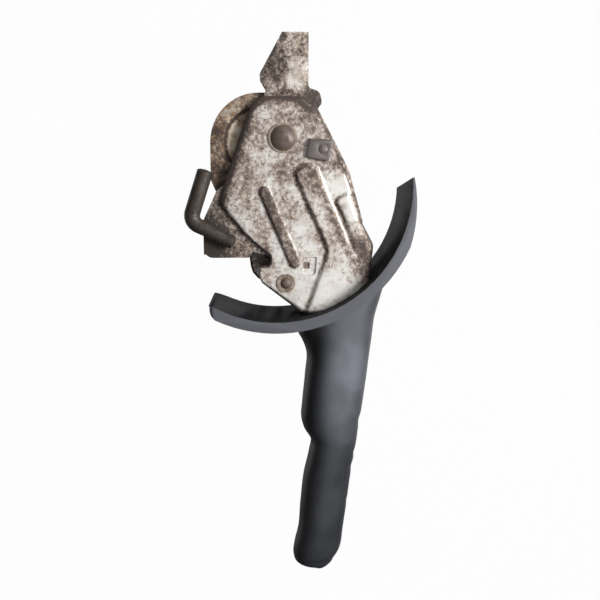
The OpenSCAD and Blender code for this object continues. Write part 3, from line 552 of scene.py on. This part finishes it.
# the sheet's net of points: a grid, and rings along every step, at these distances inside or round it
net = {
    "grid": 0.95, "rowShare": 0.87, "rimSpacing": 0.9, "stepSpacing": 0.8, "seatSpacing": 0.5, "windowSpacing": 0.6,
    "rimRings": (0.45, 1.05), "fieldRings": (-1.4, -0.6, 0.2, 1.0, 1.8, 2.4), "seatRings": (-0.25, 0.25),
    "ribRings": (4.4, 3.9, 3.3, 2.7, 2.2, 1.1, 0.01), "ribSteps": 9, "cornerSteps": 6, "seatSteps": 5,
    "windowSteps": 4, "mergeWithin": 1e-5,
    # rings keep this far from the outline, window and seat
    "ringFromRim": 0.4, "ringFromWindow": 0.3, "ringFromSeat": 0.55,
    # the grid keeps this far from the outline, window, seat and rib, and out of this band of the field's edge
    "gridFromRim": 0.95, "gridFromWindow": 0.5, "gridFromSeat": 0.6, "gridFromRib": 4.9, "fieldBand": (-1.8, 2.8),
    # the smallest gap between points, in a short line and in a long one or the grid
    "shortLine": 400, "shortGap": 0.3, "longGap": 0.35,
}


def gather(kept, more, gap):
    # more points go in only where no kept point is near
    clear = np.ones(len(more), bool)
    block = 400
    for start in range(0, len(kept), block):
        part = kept[start:start + block]
        clear &= (np.linalg.norm(more[:, None] - part[None], axis=2) > gap).all(1)
    return np.vstack((kept, more[clear]))


def cheekHeight(points, outline, panel, field, seat):
    # how far the outer face stands from the middle plane
    depth = distanceTo(points, outline)
    away = np.where(inside(points, panel), 0, distanceTo(points, panel))
    rise = smooth(depth / np.maximum(depth + away, 1e-6))
    tailEnd, tailLength = cheek["tailFade"]
    fade = smooth((tailEnd - points[:, 0]) / tailLength)
    height = cheek["rimOut"] + (cheek["panelOut"] - cheek["rimOut"]) * rise * fade
    before, width = cheek["fieldFlank"]
    height += cheek["fieldRise"] * smooth((depthIn(points, field) + before) / width) * fade * rise
    rib = distanceTo(points, np.array(cheek["rib"]), closed=False)
    crown = 1 - cheek["ribCrown"] + cheek["ribCrown"] * np.clip(1 - (rib / cheek["ribHalf"]) ** 2, 0, 1)
    height += cheek["ribRise"] * smooth((cheek["ribHalf"] - rib) / cheek["ribFlank"]) * crown
    if seat is not None:
        floor = cheek["panelOut"] - cheek["seatDepth"]
        before, width = cheek["seatFlank"]
        height += (floor - height) * smooth((depthIn(points, seat) + before) / width)
    return height - cheek["edgeRound"] * (1 - smooth(depth / cheek["edgeReach"]))


def cheekStain(points, outline):
    stainAndPaintedLight = np.zeros(len(points))
    fromShoulder = distanceTo(points, np.array(cheek["shoulderLine"]), closed=False)
    # painted shade along the raised panel's left flank, with rust on the shoulder beside it
    for amount, middle, width in cheek["shoulderStain"]:
        stainAndPaintedLight += amount * np.exp(-((fromShoulder - middle) / width) ** 2)
    a, b = (np.array(p) for p in cheek["rib"])
    along = unit(b - a)
    across = (points - a) @ np.array((-along[1], along[0]))
    amount, reach, share = cheek["ribStain"]
    fromRib = distanceTo(points, np.array(cheek["rib"]), closed=False)
    # less rust on the rib's lit upper side: a painted highlight
    stainAndPaintedLight += amount * smooth(reach - fromRib) * np.where(across > cheek["ribHighlightFrom"], share, 1)
    # rust, painted shade on the flanks and a painted highlight along the field's lit edge
    for line, width, amount in cheek["rustShadeAndHighlightLines"]:
        stainAndPaintedLight += amount * np.exp(-(distanceTo(points, np.array(line), closed=False) / width) ** 2)
    for x, z, radius, amount in cheek["spots"]:
        stainAndPaintedLight += amount * np.exp(-((points[:, 0] - x) ** 2 + (points[:, 1] - z) ** 2) / radius ** 2)
    # rust and painted shade along the outline, darkening the sheet's edges
    amount, width = cheek["rimStain"]
    return stainAndPaintedLight + amount * (1 - smooth(distanceTo(points, outline) / width))


def insetRing(corners, shift, spacing, steps=net["cornerSteps"]):
    return resample(roundedOutline(insetCorners(corners, [shift] * len(corners)), steps), spacing)


def ribRing(reach):
    # runs round the rib at one distance
    a, b = (np.array(p) for p in cheek["rib"])
    start = math.atan2(*(b - a)[::-1]) + math.pi / 2
    turn = start + np.linspace(0, math.pi, net["ribSteps"])
    first = a + reach * np.stack((np.cos(turn), np.sin(turn)), 1)
    second = b + reach * np.stack((np.cos(math.pi + turn), np.sin(math.pi + turn)), 1)
    return resample(np.vstack((first, second)), net["stepSpacing"])


def cheekRings(corners, outline, window, seat):
    def clipped(lines):
        return [c[inside(c, outline) & (distanceTo(c, outline) > net["ringFromRim"])] for c in lines]

    rings = [insetRing(corners, shift, net["rimSpacing"]) for shift in net["rimRings"]]
    rings += [insetRing(cheek["field"], shift, net["stepSpacing"]) for shift in net["fieldRings"]]
    rings = clipped(rings + [ribRing(reach) for reach in net["ribRings"]])
    if window is not None:
        rings = [r[distanceTo(r, seat) > net["ringFromSeat"]] for r in rings]
        spacing, steps = net["seatSpacing"], net["seatSteps"]
        seatRings = clipped([insetRing(cheek["seat"], shift, spacing, steps) for shift in net["seatRings"]])
        rings += [r[depthIn(r, window) < -net["ringFromWindow"]] for r in seatRings]
    # the two finest rings go first, from the inside out
    return rings[-2:][::-1] + rings[:-2]


def cheekGrid(outline, field, window, seat):
    low, high = outline.min(0), outline.max(0)
    step = net["grid"]
    rows = []
    for j, z in enumerate(np.arange(low[1], high[1], step * net["rowShare"])):
        xs = np.arange(low[0] + (step / 2 if j % 2 else 0), high[0], step)
        rows.append(np.stack((xs, np.full(len(xs), z)), 1))
    grid = np.vstack(rows)
    grid = grid[inside(grid, outline)]
    fieldDepth = depthIn(grid, field)
    keep = (fieldDepth < net["fieldBand"][0]) | (fieldDepth > net["fieldBand"][1])
    keep &= distanceTo(grid, outline) > net["gridFromRim"]
    keep &= distanceTo(grid, np.array(cheek["rib"]), closed=False) > net["gridFromRib"]
    if window is not None:
        keep &= (distanceTo(grid, seat) > net["gridFromSeat"]) & (depthIn(grid, window) < -net["gridFromWindow"])
    return grid[keep]


def makeCheek(name, side, lowEdge, hole):
    corners = cheek["rimTop"] + lowEdge + cheek["rimLow"]
    steps = net["cornerSteps"]
    outline = resample(roundedOutline([c[:3] for c in corners], steps), net["rimSpacing"])
    panel = roundedOutline(insetCorners(corners, [c[3] for c in corners]), steps)
    field = roundedOutline(cheek["field"], steps)
    seat = resample(roundedOutline(cheek["seat"], net["seatSteps"]), net["seatSpacing"]) if hole else None
    window = resample(roundedOutline(cheek["window"], net["windowSteps"]), net["windowSpacing"]) if hole else None
    loops = [outline, window] if hole else [outline]
    lines = loops[1:] + cheekRings(corners, outline, window, seat) + [cheekGrid(outline, field, window, seat)]
    points = outline
    for more in lines:
        points = gather(points, more, net["shortGap"] if len(more) < net["shortLine"] else net["longGap"])

    edges, start = [], 0
    for loop in loops:
        edges += [(start + i, start + (i + 1) % len(loop)) for i in range(len(loop))]
        start += len(loop)
    whole = [list(range(len(outline)))]
    found = delaunay_2d_cdt([Vector(p) for p in points], edges, whole, 1, net["mergeWithin"])
    flat, triangles = np.array([tuple(v) for v in found[0]]), found[2]
    centres = np.array([flat[list(t)].mean(0) for t in triangles])
    good = inside(centres, outline)
    if hole:
        good &= ~inside(centres, window)
    triangles = [tuple(t) for t, isGood in zip(triangles, good) if isGood]

    # the inner face is the outer one again, a sheet's thickness further in
    height = cheekHeight(flat, outline, panel, field, seat)
    innerHeight = np.maximum(height - cheek["sheet"], cheek["inner"])
    count = len(flat)
    verts = np.vstack([np.stack((flat[:, 0], side * y, flat[:, 1]), 1) for y in (height, innerHeight)])
    faces = triangles + [tuple(count + i for i in reversed(t)) for t in triangles]
    used = {(t[i], t[(i + 1) % 3]): True for t in triangles for i in range(3)}
    faces += [(b, a, a + count, b + count) for a, b in used if (b, a) not in used]
    piece = newPiece(name, verts, faces)
    # rust stain together with the painted shade and painted highlights of the cheek's lines and bands
    stainAndPaintedLight = cheekStain(flat, outline).astype(np.float32)
    piece.data.attributes.new("stainAndPaintedLight", "FLOAT", "POINT").data.foreach_set("value", np.tile(stainAndPaintedLight, 2))
    return piece


nearSheet = makeCheek("nearCheekSheet", -1, cheek["nearLow"], True)
farSheet = makeCheek("farCheekSheet", 1, cheek["farLow"], False)
dress(nearSheet, "lever", materials["sheet"], "near_cheek")
dress(farSheet, "lever", materials["sheet"], "far_cheek")
print("cheeks pressed")


# CAD pieces copied with eased edges. Angles are in degrees, and weld is in metres
easing = {"segments": 2, "bevelFrom": 35, "sharpFrom": 32, "flatWithin": 1, "weld": 1e-6}


def easedCopy(name, node, body, slotName, look, width):
    piece = newObject(name, cadNodes[node].data.copy())
    edit = bmesh.new()
    edit.from_mesh(piece.data)
    bmesh.ops.remove_doubles(edit, verts=edit.verts, dist=easing["weld"])
    flat = math.radians(easing["flatWithin"])
    bmesh.ops.dissolve_limit(edit, angle_limit=flat, verts=edit.verts, edges=edit.edges)
    edit.to_mesh(piece.data)
    edit.free()
    bevel = piece.modifiers.new("easedEdges", "BEVEL")
    bevel.width = width * mm
    bevel.segments = easing["segments"]
    bevel.limit_method = "ANGLE"
    bevel.angle_limit = math.radians(easing["bevelFrom"])
    bevel.use_clamp_overlap = True
    settle(piece, easing["sharpFrom"])
    dress(piece, body, materials[look], node)


# node, body, slot, material, and how wide its edges are eased
easedEdges = {
    "bracketSaddle": ("mounting_bracket", "bracket", "plated_steel", "bracket", 0.9),
    "quadrantLobe": ("cable_quadrant", "lever", "rusty_steel", "quadrant", 1.1),
    "strikerSquare": ("striker_plate", "lever", "rusty_steel", "striker", 0.7),
    "shieldBand": ("slot_shield", "lever", "grip_plastic", "shield", 0.6),
    "pushButton": ("release_button", "button", "guide_plastic", "button", 0.5),
}
for pieceName, row in easedEdges.items():
    easedCopy(pieceName, *row)
print("edges eased")


# the bent hook, swept along its path by geometry nodes. Places along it are x and z, and out is its distance
# from the middle plane. The bar narrows to its neck between two shares of its length, and a small middle part
# of each end stays flat. A wearMiddle above 0.5 makes the wear mostly inwards
hook = {"start": (19.6, -48.9), "bend": (52.2, -59.8), "end": (66.3, -31.5), "out": 14.1, "bendRadius": 7.0,
        "bar": 5.08, "neck": 4.4, "neckShares": (0.45, 0.8), "endRound": 1.9, "endFlat": 0.06, "wear": 0.16,
        "wearSize": 5.0, "wearMiddle": 0.75, "wearDetail": 3.0, "bendSteps": 20, "stations": 150, "sides": 30,
        "sharpFrom": 60}
barInputs = {"Bend Radius": "bendRadius", "Bar Radius": "bar", "Neck Radius": "neck", "End Round": "endRound",
             "Wear": "wear", "Wear Size": "wearSize"}


def makeBarTree():
    # a bar along an edge path: filleted bend, rounded ends, a neck towards the far end and a worn skin
    tree = bpy.data.node_groups.new("bentBar", "GeometryNodeTree")

    def newSocket(label, kind="Float", side="INPUT"):
        return tree.interface.new_socket(label, in_out=side, socket_type="NodeSocket" + kind).identifier

    newSocket("Geometry", "Geometry")
    sockets = {label: newSocket(label) for label in barInputs}
    sockets["Material"] = newSocket("Material", "Material")
    newSocket("Geometry", "Geometry", "OUTPUT")
    given, out = tree.nodes.new("NodeGroupInput"), tree.nodes.new("NodeGroupOutput")

    def add(kind, **inputs):
        node = tree.nodes.new("GeometryNode" + kind)
        for label, value in inputs.items():
            plug(tree, node.inputs[label.replace("_", " ")], value)
        return node

    path = add("MeshToCurve", Mesh=given.outputs["Geometry"]).outputs["Curve"]
    bend = add("FilletCurve", Curve=path, Radius=given.outputs["Bend Radius"])
    bend.mode = "POLY"
    bend.inputs["Count"].default_value = hook["bendSteps"]
    even = add("ResampleCurve", Curve=bend.outputs["Curve"], Count=hook["stations"]).outputs["Curve"]
    along = add("SplineParameter")
    toEnd = math2(tree, "SUBTRACT", add("SplineLength").outputs["Length"], along.outputs["Length"])
    fromEnd = math2(tree, "MINIMUM", along.outputs["Length"], toEnd)
    share = math2(tree, "MINIMUM", math2(tree, "DIVIDE", fromEnd, given.outputs["End Round"]), 1.0)
    short = math2(tree, "SUBTRACT", 1.0, share)
    fall = math2(tree, "SUBTRACT", 1 + hook["endFlat"], math2(tree, "MULTIPLY", short, short))
    dome = math2(tree, "MINIMUM", math2(tree, "SQRT", fall), 1.0)
    full = spread(tree, along.outputs["Factor"], *hook["neckShares"], given.outputs["Bar Radius"],
                  given.outputs["Neck Radius"])
    radius = math2(tree, "MULTIPLY", full, dome)
    circle = add("CurvePrimitiveCircle", Resolution=hook["sides"], Radius=1.0).outputs["Curve"]
    bar = add("CurveToMesh", Curve=even, Profile_Curve=circle, Scale=radius, Fill_Caps=True)
    noise = tree.nodes.new("ShaderNodeTexNoise")
    plug(tree, noise.inputs["Scale"], math2(tree, "DIVIDE", 1.0, given.outputs["Wear Size"]))
    noise.inputs["Detail"].default_value = hook["wearDetail"]
    outward = math2(tree, "SUBTRACT", noise.outputs["Fac"], hook["wearMiddle"])
    lift = math2(tree, "MULTIPLY", outward, given.outputs["Wear"])
    push = tree.nodes.new("ShaderNodeVectorMath")
    push.operation = "SCALE"
    tree.links.new(add("InputNormal").outputs["Normal"], push.inputs[0])
    tree.links.new(lift, push.inputs["Scale"])
    worn = add("SetPosition", Geometry=bar.outputs["Mesh"], Offset=push.outputs[0]).outputs["Geometry"]
    smoothed = add("SetShadeSmooth", Geometry=worn).outputs["Geometry"]
    single = add("RealizeInstances", Geometry=smoothed).outputs["Geometry"]
    final = add("SetMaterial", Geometry=single, Material=given.outputs["Material"]).outputs["Geometry"]
    tree.links.new(final, out.inputs["Geometry"])
    return tree, sockets


def makeHook():
    mesh = bpy.data.meshes.new("hookBar")
    stations = [(x, -hook["out"], z) for x, z in (hook["start"], hook["bend"], hook["end"])]
    mesh.from_pydata([tuple((np.array(p) + pivot) * mm) for p in stations], [(0, 1), (1, 2)], [])
    piece = newObject("hookBar", mesh)
    tree, sockets = makeBarTree()
    modifier = piece.modifiers.new("bentBar", "NODES")
    modifier.node_group = tree
    for label, key in barInputs.items():
        modifier[sockets[label]] = hook[key] * mm
    modifier[sockets["Material"]] = materials["hook"]
    settle(piece, hook["sharpFrom"])
    return piece


dress(makeHook(), "bracket", materials["hook"], "cable_hook")
print("hook bent")


# the moulded grip
grip = {
    # x, lowest z, highest z, half width, squareness
    "sections": [(86, 6, 70, 21, 2.6), (104, 6.4, 65, 20.5, 2.6), (118, 7.6, 61.4, 19.6, 2.6),
                 (127, 9.4, 60.4, 18.8, 2.6), (133, 12.6, 59.8, 18.2, 2.5), (140, 15.2, 58.9, 17.6, 2.5),
                 (158, 14.6, 57, 16.8, 2.4), (178, 12.7, 54.5, 16.2, 2.4), (189, 12.1, 53.1, 15.9, 2.3),
                 (196, 14, 51.9, 15.6, 2.3), (204, 18.6, 50.9, 15.2, 2.3), (214, 17.4, 49.6, 15, 2.2),
                 (230, 13.9, 47, 15, 2.2), (252, 11.5, 44.4, 15, 2.2), (274, 9.5, 41.6, 14.9, 2.2),
                 (281.6, 7.6, 40.8, 14.6, 2.2), (286.2, 6.8, 39.7, 14.1, 2.2), (290.2, 6.4, 37.8, 13.4, 2.2),
                 (293.5, 7, 35.4, 12.3, 2.2), (296, 8.2, 32.6, 11, 2.1), (298, 10.4, 30.2, 9.6, 2)],
    "sides": 112, "firstAngle": 0.01, "rings": 190, "ringCrowding": 0.92, "domeFrom": 293.5, "domeSteps": 10,
    # it starts on the shield's outer face, found in steps from a first guess of x
    "shieldCentre": (31, -4.4), "shieldRadius": 88.4, "guess": 110.0, "guessSteps": 12,
    # rings that close the start, as shares of its outline, and how far in from it they lie
    "frontShares": (0.5, 0.85), "frontIn": 0.15,
    # the bore: x and z of a place on its axis, radii, how far along it the bore ends and the end face lies,
    # and rings of the lip as shares of it and depths behind the face
    "axis": (118, 37.4), "tilt": 4.0, "bore": 6.45, "lip": 0.9, "boreEnd": 171.0, "faceReach": 180.0,
    "lipRings": ((0.35, 0.15), (0, 0.7)),
    # the end face: x, the height above which it leans back and its lean per mm, and the same below a height
    "endFace": 299.2, "endLean": (28.4, 0.62), "footLean": (17, 0.25),
    # worn dents: x, z, radius, depth
    "dents": [(190, 53.5, 4, 0.9), (214, 50.5, 3, 0.8), (224, 48.5, 3.5, 0.7), (250, 45.5, 3, 0.4)],
}


def gripShape(x):
    # a smooth curve through the sections
    table = np.array(grip["sections"], float)
    xs = table[:, 0]
    slopes = np.gradient(table, xs, axis=0)
    i = np.clip(np.searchsorted(xs, x) - 1, 0, len(xs) - 2)
    h = xs[i + 1] - xs[i]
    t = np.clip((x - xs[i]) / h, 0, 1)[:, None]
    h = h[:, None]
    return ((2 * t**3 - 3 * t**2 + 1) * table[i] + (t**3 - 2 * t**2 + t) * h * slopes[i]
            + (-2 * t**3 + 3 * t**2) * table[i + 1] + (t**3 - t**2) * h * slopes[i + 1])


def gripPoint(x, angle):
    # places on the grip's skin, round a section that is between an ellipse and a box
    _, low, high, half, square = gripShape(x).T
    c, s = np.cos(angle), np.sin(angle)
    y = half * np.sign(c) * np.abs(c) ** (2 / square)
    z = (low + high) / 2 + (high - low) / 2 * np.sign(s) * np.abs(s) ** (2 / square)
    return np.stack((x, y, z), 1)


def makeGrip():
    sides = grip["sides"]
    angle = np.arange(sides) * 2 * math.pi / sides + grip["firstAngle"]
    cx, cz = grip["shieldCentre"]
    first = np.full(sides, grip["guess"])
    for _ in range(grip["guessSteps"]):
        # each step goes half way to the shield at this place's height
        z = gripPoint(first, angle)[:, 2]
        first = 0.5 * first + 0.5 * (cx + np.sqrt(grip["shieldRadius"] ** 2 - (z - cz) ** 2))
    shares = np.linspace(0, 1, grip["rings"]) ** grip["ringCrowding"]
    body = np.array([gripPoint(first + (grip["domeFrom"] - first) * t, angle) for t in shares])
    for x, z, radius, depth in grip["dents"]:
        gap = np.linalg.norm(body[..., [0, 2]] - (x, z), axis=2)
        body[..., 2] -= depth * np.exp(-(gap / radius) ** 2)
    tilt = math.radians(grip["tilt"])
    along, lift = np.array((math.cos(tilt), 0, -math.sin(tilt))), np.array((math.sin(tilt), 0, math.cos(tilt)))
    base = np.array((grip["axis"][0], 0, grip["axis"][1]))

    def boreRing(radius, reach):
        spokes = np.cos(angle)[:, None] * np.array((0, 1, 0)) + np.sin(angle)[:, None] * lift
        return base + along * reach + radius * spokes

    def endRing(radius, back):
        # a ring of the bore, moved along it to the leaning end face
        ring = boreRing(radius, grip["faceReach"])
        (high, lean), (low, footLean) = grip["endLean"], grip["footLean"]
        x = grip["endFace"] - lean * np.maximum(0, ring[:, 2] - high) - footLean * np.maximum(0, low - ring[:, 2])
        return ring + along * ((x - back - ring[:, 0]) / along[0])[:, None]

    bore, lip = grip["bore"], grip["lip"]
    rim, lipRing = body[-1], endRing(bore + lip, 0.0)
    dome = []
    for i in range(1, grip["domeSteps"] + 1):
        turn = i / grip["domeSteps"] * math.pi / 2
        ring = rim + (lipRing - rim) * (1 - math.cos(turn))
        ring[:, 0] = rim[:, 0] + (lipRing[:, 0] - rim[:, 0]) * math.sin(turn)
        dome.append(ring)
    last = [endRing(bore + lip * share, back) for share, back in grip["lipRings"]] + [boreRing(bore, grip["boreEnd"])]
    start = gripPoint(first, angle)
    middle = start.mean(0)
    front = [middle + (start - middle) * share + np.array((grip["frontIn"], 0, 0)) for share in grip["frontShares"]]
    rings = front + list(body) + dome + last
    faces = []
    for i in range(len(rings) - 1):
        for k in range(sides):
            a, b = i * sides + k, i * sides + (k + 1) % sides
            faces.append((a, b, b + sides, a + sides))
    faces.append(tuple(range(sides - 1, -1, -1)))
    faces.append(tuple((len(rings) - 1) * sides + k for k in range(sides)))
    return newPiece("gripSleeve", np.vstack(rings), faces)


dress(makeGrip(), "lever", materials["grip"], "grip_sleeve")
print("grip lofted")


# finishes of the CAD pieces that show as they are
finishes = {
    "ratchet_sector": "toolSteel", "sector_rivets": "rivet", "sector_spacers": "bracket", "pivot_bushes": "bronze",
    "pivot_pin": "head", "pivot_washers": "washer", "pawl_pin": "head", "pawl_washers": "washer",
    "pawl_spacers": "bracket", "pawl_spring": "toolSteel", "striker_rivet": "striker", "grip_tube": "bracket",
    "tube_rivets": "bracket", "front_rod_guide": "button", "rear_rod_guide": "button", "button_ferrule": "button",
    "pawl": "rivet", "release_rod": "toolSteel", "button_spring": "toolSteel",
}
for node, look in finishes.items():
    cadNodes[node].data.materials.clear()
    cadNodes[node].data.materials.append(materials[look])
print("CAD pieces finished")


# floor and light. floorTone and sky are what light the lever, and the camera sees both as white. floorSize is
# in metres
studio = {"floorBehind": 60.0, "floorSize": 4.0, "floorTone": 0.2, "floorShown": 0.98, "sky": 0.07,
          "aim": (70, 0, 20)}


def makeFloor():
    # the lever lies on its side, so the floor stands behind it. From behind it can be seen through,
    # and it casts no shadow, so that the lamps behind it light the far side
    size = studio["floorSize"] / 2
    y = studio["floorBehind"] * mm
    mesh = bpy.data.meshes.new("paleFloor")
    mesh.from_pydata([(-size, y, -size), (size, y, -size), (size, y, size), (-size, y, size)], [], [(0, 1, 2, 3)])
    floor = newObject("paleFloor", mesh)
    material = bpy.data.materials.new("paleFloor")
    material.use_nodes = True
    tree = material.node_tree
    tree.nodes.clear()
    out = tree.nodes.new("ShaderNodeOutputMaterial")
    diffuse = tree.nodes.new("ShaderNodeBsdfDiffuse")
    diffuse.inputs["Color"].default_value = (studio["floorTone"],) * 3 + (1,)
    white = tree.nodes.new("ShaderNodeEmission")
    white.inputs["Strength"].default_value = 1.0
    clear = tree.nodes.new("ShaderNodeBsdfTransparent")
    rays = tree.nodes.new("ShaderNodeLightPath")
    seen = tree.nodes.new("ShaderNodeMixShader")
    share = math2(tree, "MULTIPLY", rays.outputs["Is Camera Ray"], studio["floorShown"])
    sides = tree.nodes.new("ShaderNodeMixShader")
    behind = tree.nodes.new("ShaderNodeNewGeometry").outputs["Backfacing"]
    through = math2(tree, "MAXIMUM", behind, rays.outputs["Is Shadow Ray"])
    for mixed, parts in ((seen, (share, diffuse.outputs[0], white.outputs[0])),
                         (sides, (through, seen.outputs[0], clear.outputs[0]))):
        for socket, part in zip(mixed.inputs, parts):
            tree.links.new(part, socket)
    tree.links.new(sides.outputs[0], out.inputs["Surface"])
    mesh.materials.append(material)


def makeLamp(name, place, size, power, colour):
    data = bpy.data.lights.new(name, "AREA")
    data.shape = "DISK"
    data.size = size
    data.energy = power
    data.color = colour
    lamp = newObject(name, data)
    lamp.location = Vector(place) + Vector(pivot * mm)
    lamp.rotation_mode = "QUATERNION"
    aim = Vector((pivot + studio["aim"]) * mm)
    lamp.rotation_quaternion = (aim - lamp.location).to_track_quat("-Z", "Y")


makeFloor()
# place from the pivot in metres, size, power, colour
lamps = {
    "windowLight": ((-0.04, -0.46, 0.48), 0.26, 6.6, (1.0, 1.0, 0.99)),
    "topLight": ((-0.75, -0.55, 0.30), 0.5, 2.6, (1.0, 1.0, 1.0)),
    "softFill": ((0.25, -0.95, 0.15), 0.9, 1.9, (0.97, 0.98, 1.0)),
    "backFill": ((0.2, 0.9, 0.5), 0.8, 9.0, (1.0, 1.0, 1.0)),
    "edgeFill": ((0.1, 0.7, -0.7), 0.8, 5.0, (1.0, 1.0, 1.0)),
}
for lampName, row in lamps.items():
    makeLamp(lampName, *row)

world = bpy.data.worlds.new("studioSky")
bpy.context.scene.world = world
world.use_nodes = True
skyTree = world.node_tree
sky = skyTree.nodes["Background"]
sky.inputs["Color"].default_value = (1, 1, 1, 1)
rays = skyTree.nodes.new("ShaderNodeLightPath")
shown = math2(skyTree, "MAXIMUM", rays.outputs["Is Camera Ray"], rays.outputs["Is Transmission Ray"])
strength = skyTree.nodes.new("ShaderNodeMapRange")
strength.inputs["To Min"].default_value = studio["sky"]
strength.inputs["To Max"].default_value = 1.0
skyTree.links.new(shown, strength.inputs["Value"])
skyTree.links.new(strength.outputs["Result"], sky.inputs["Strength"])
bpy.context.scene.view_settings.view_transform = "Standard"
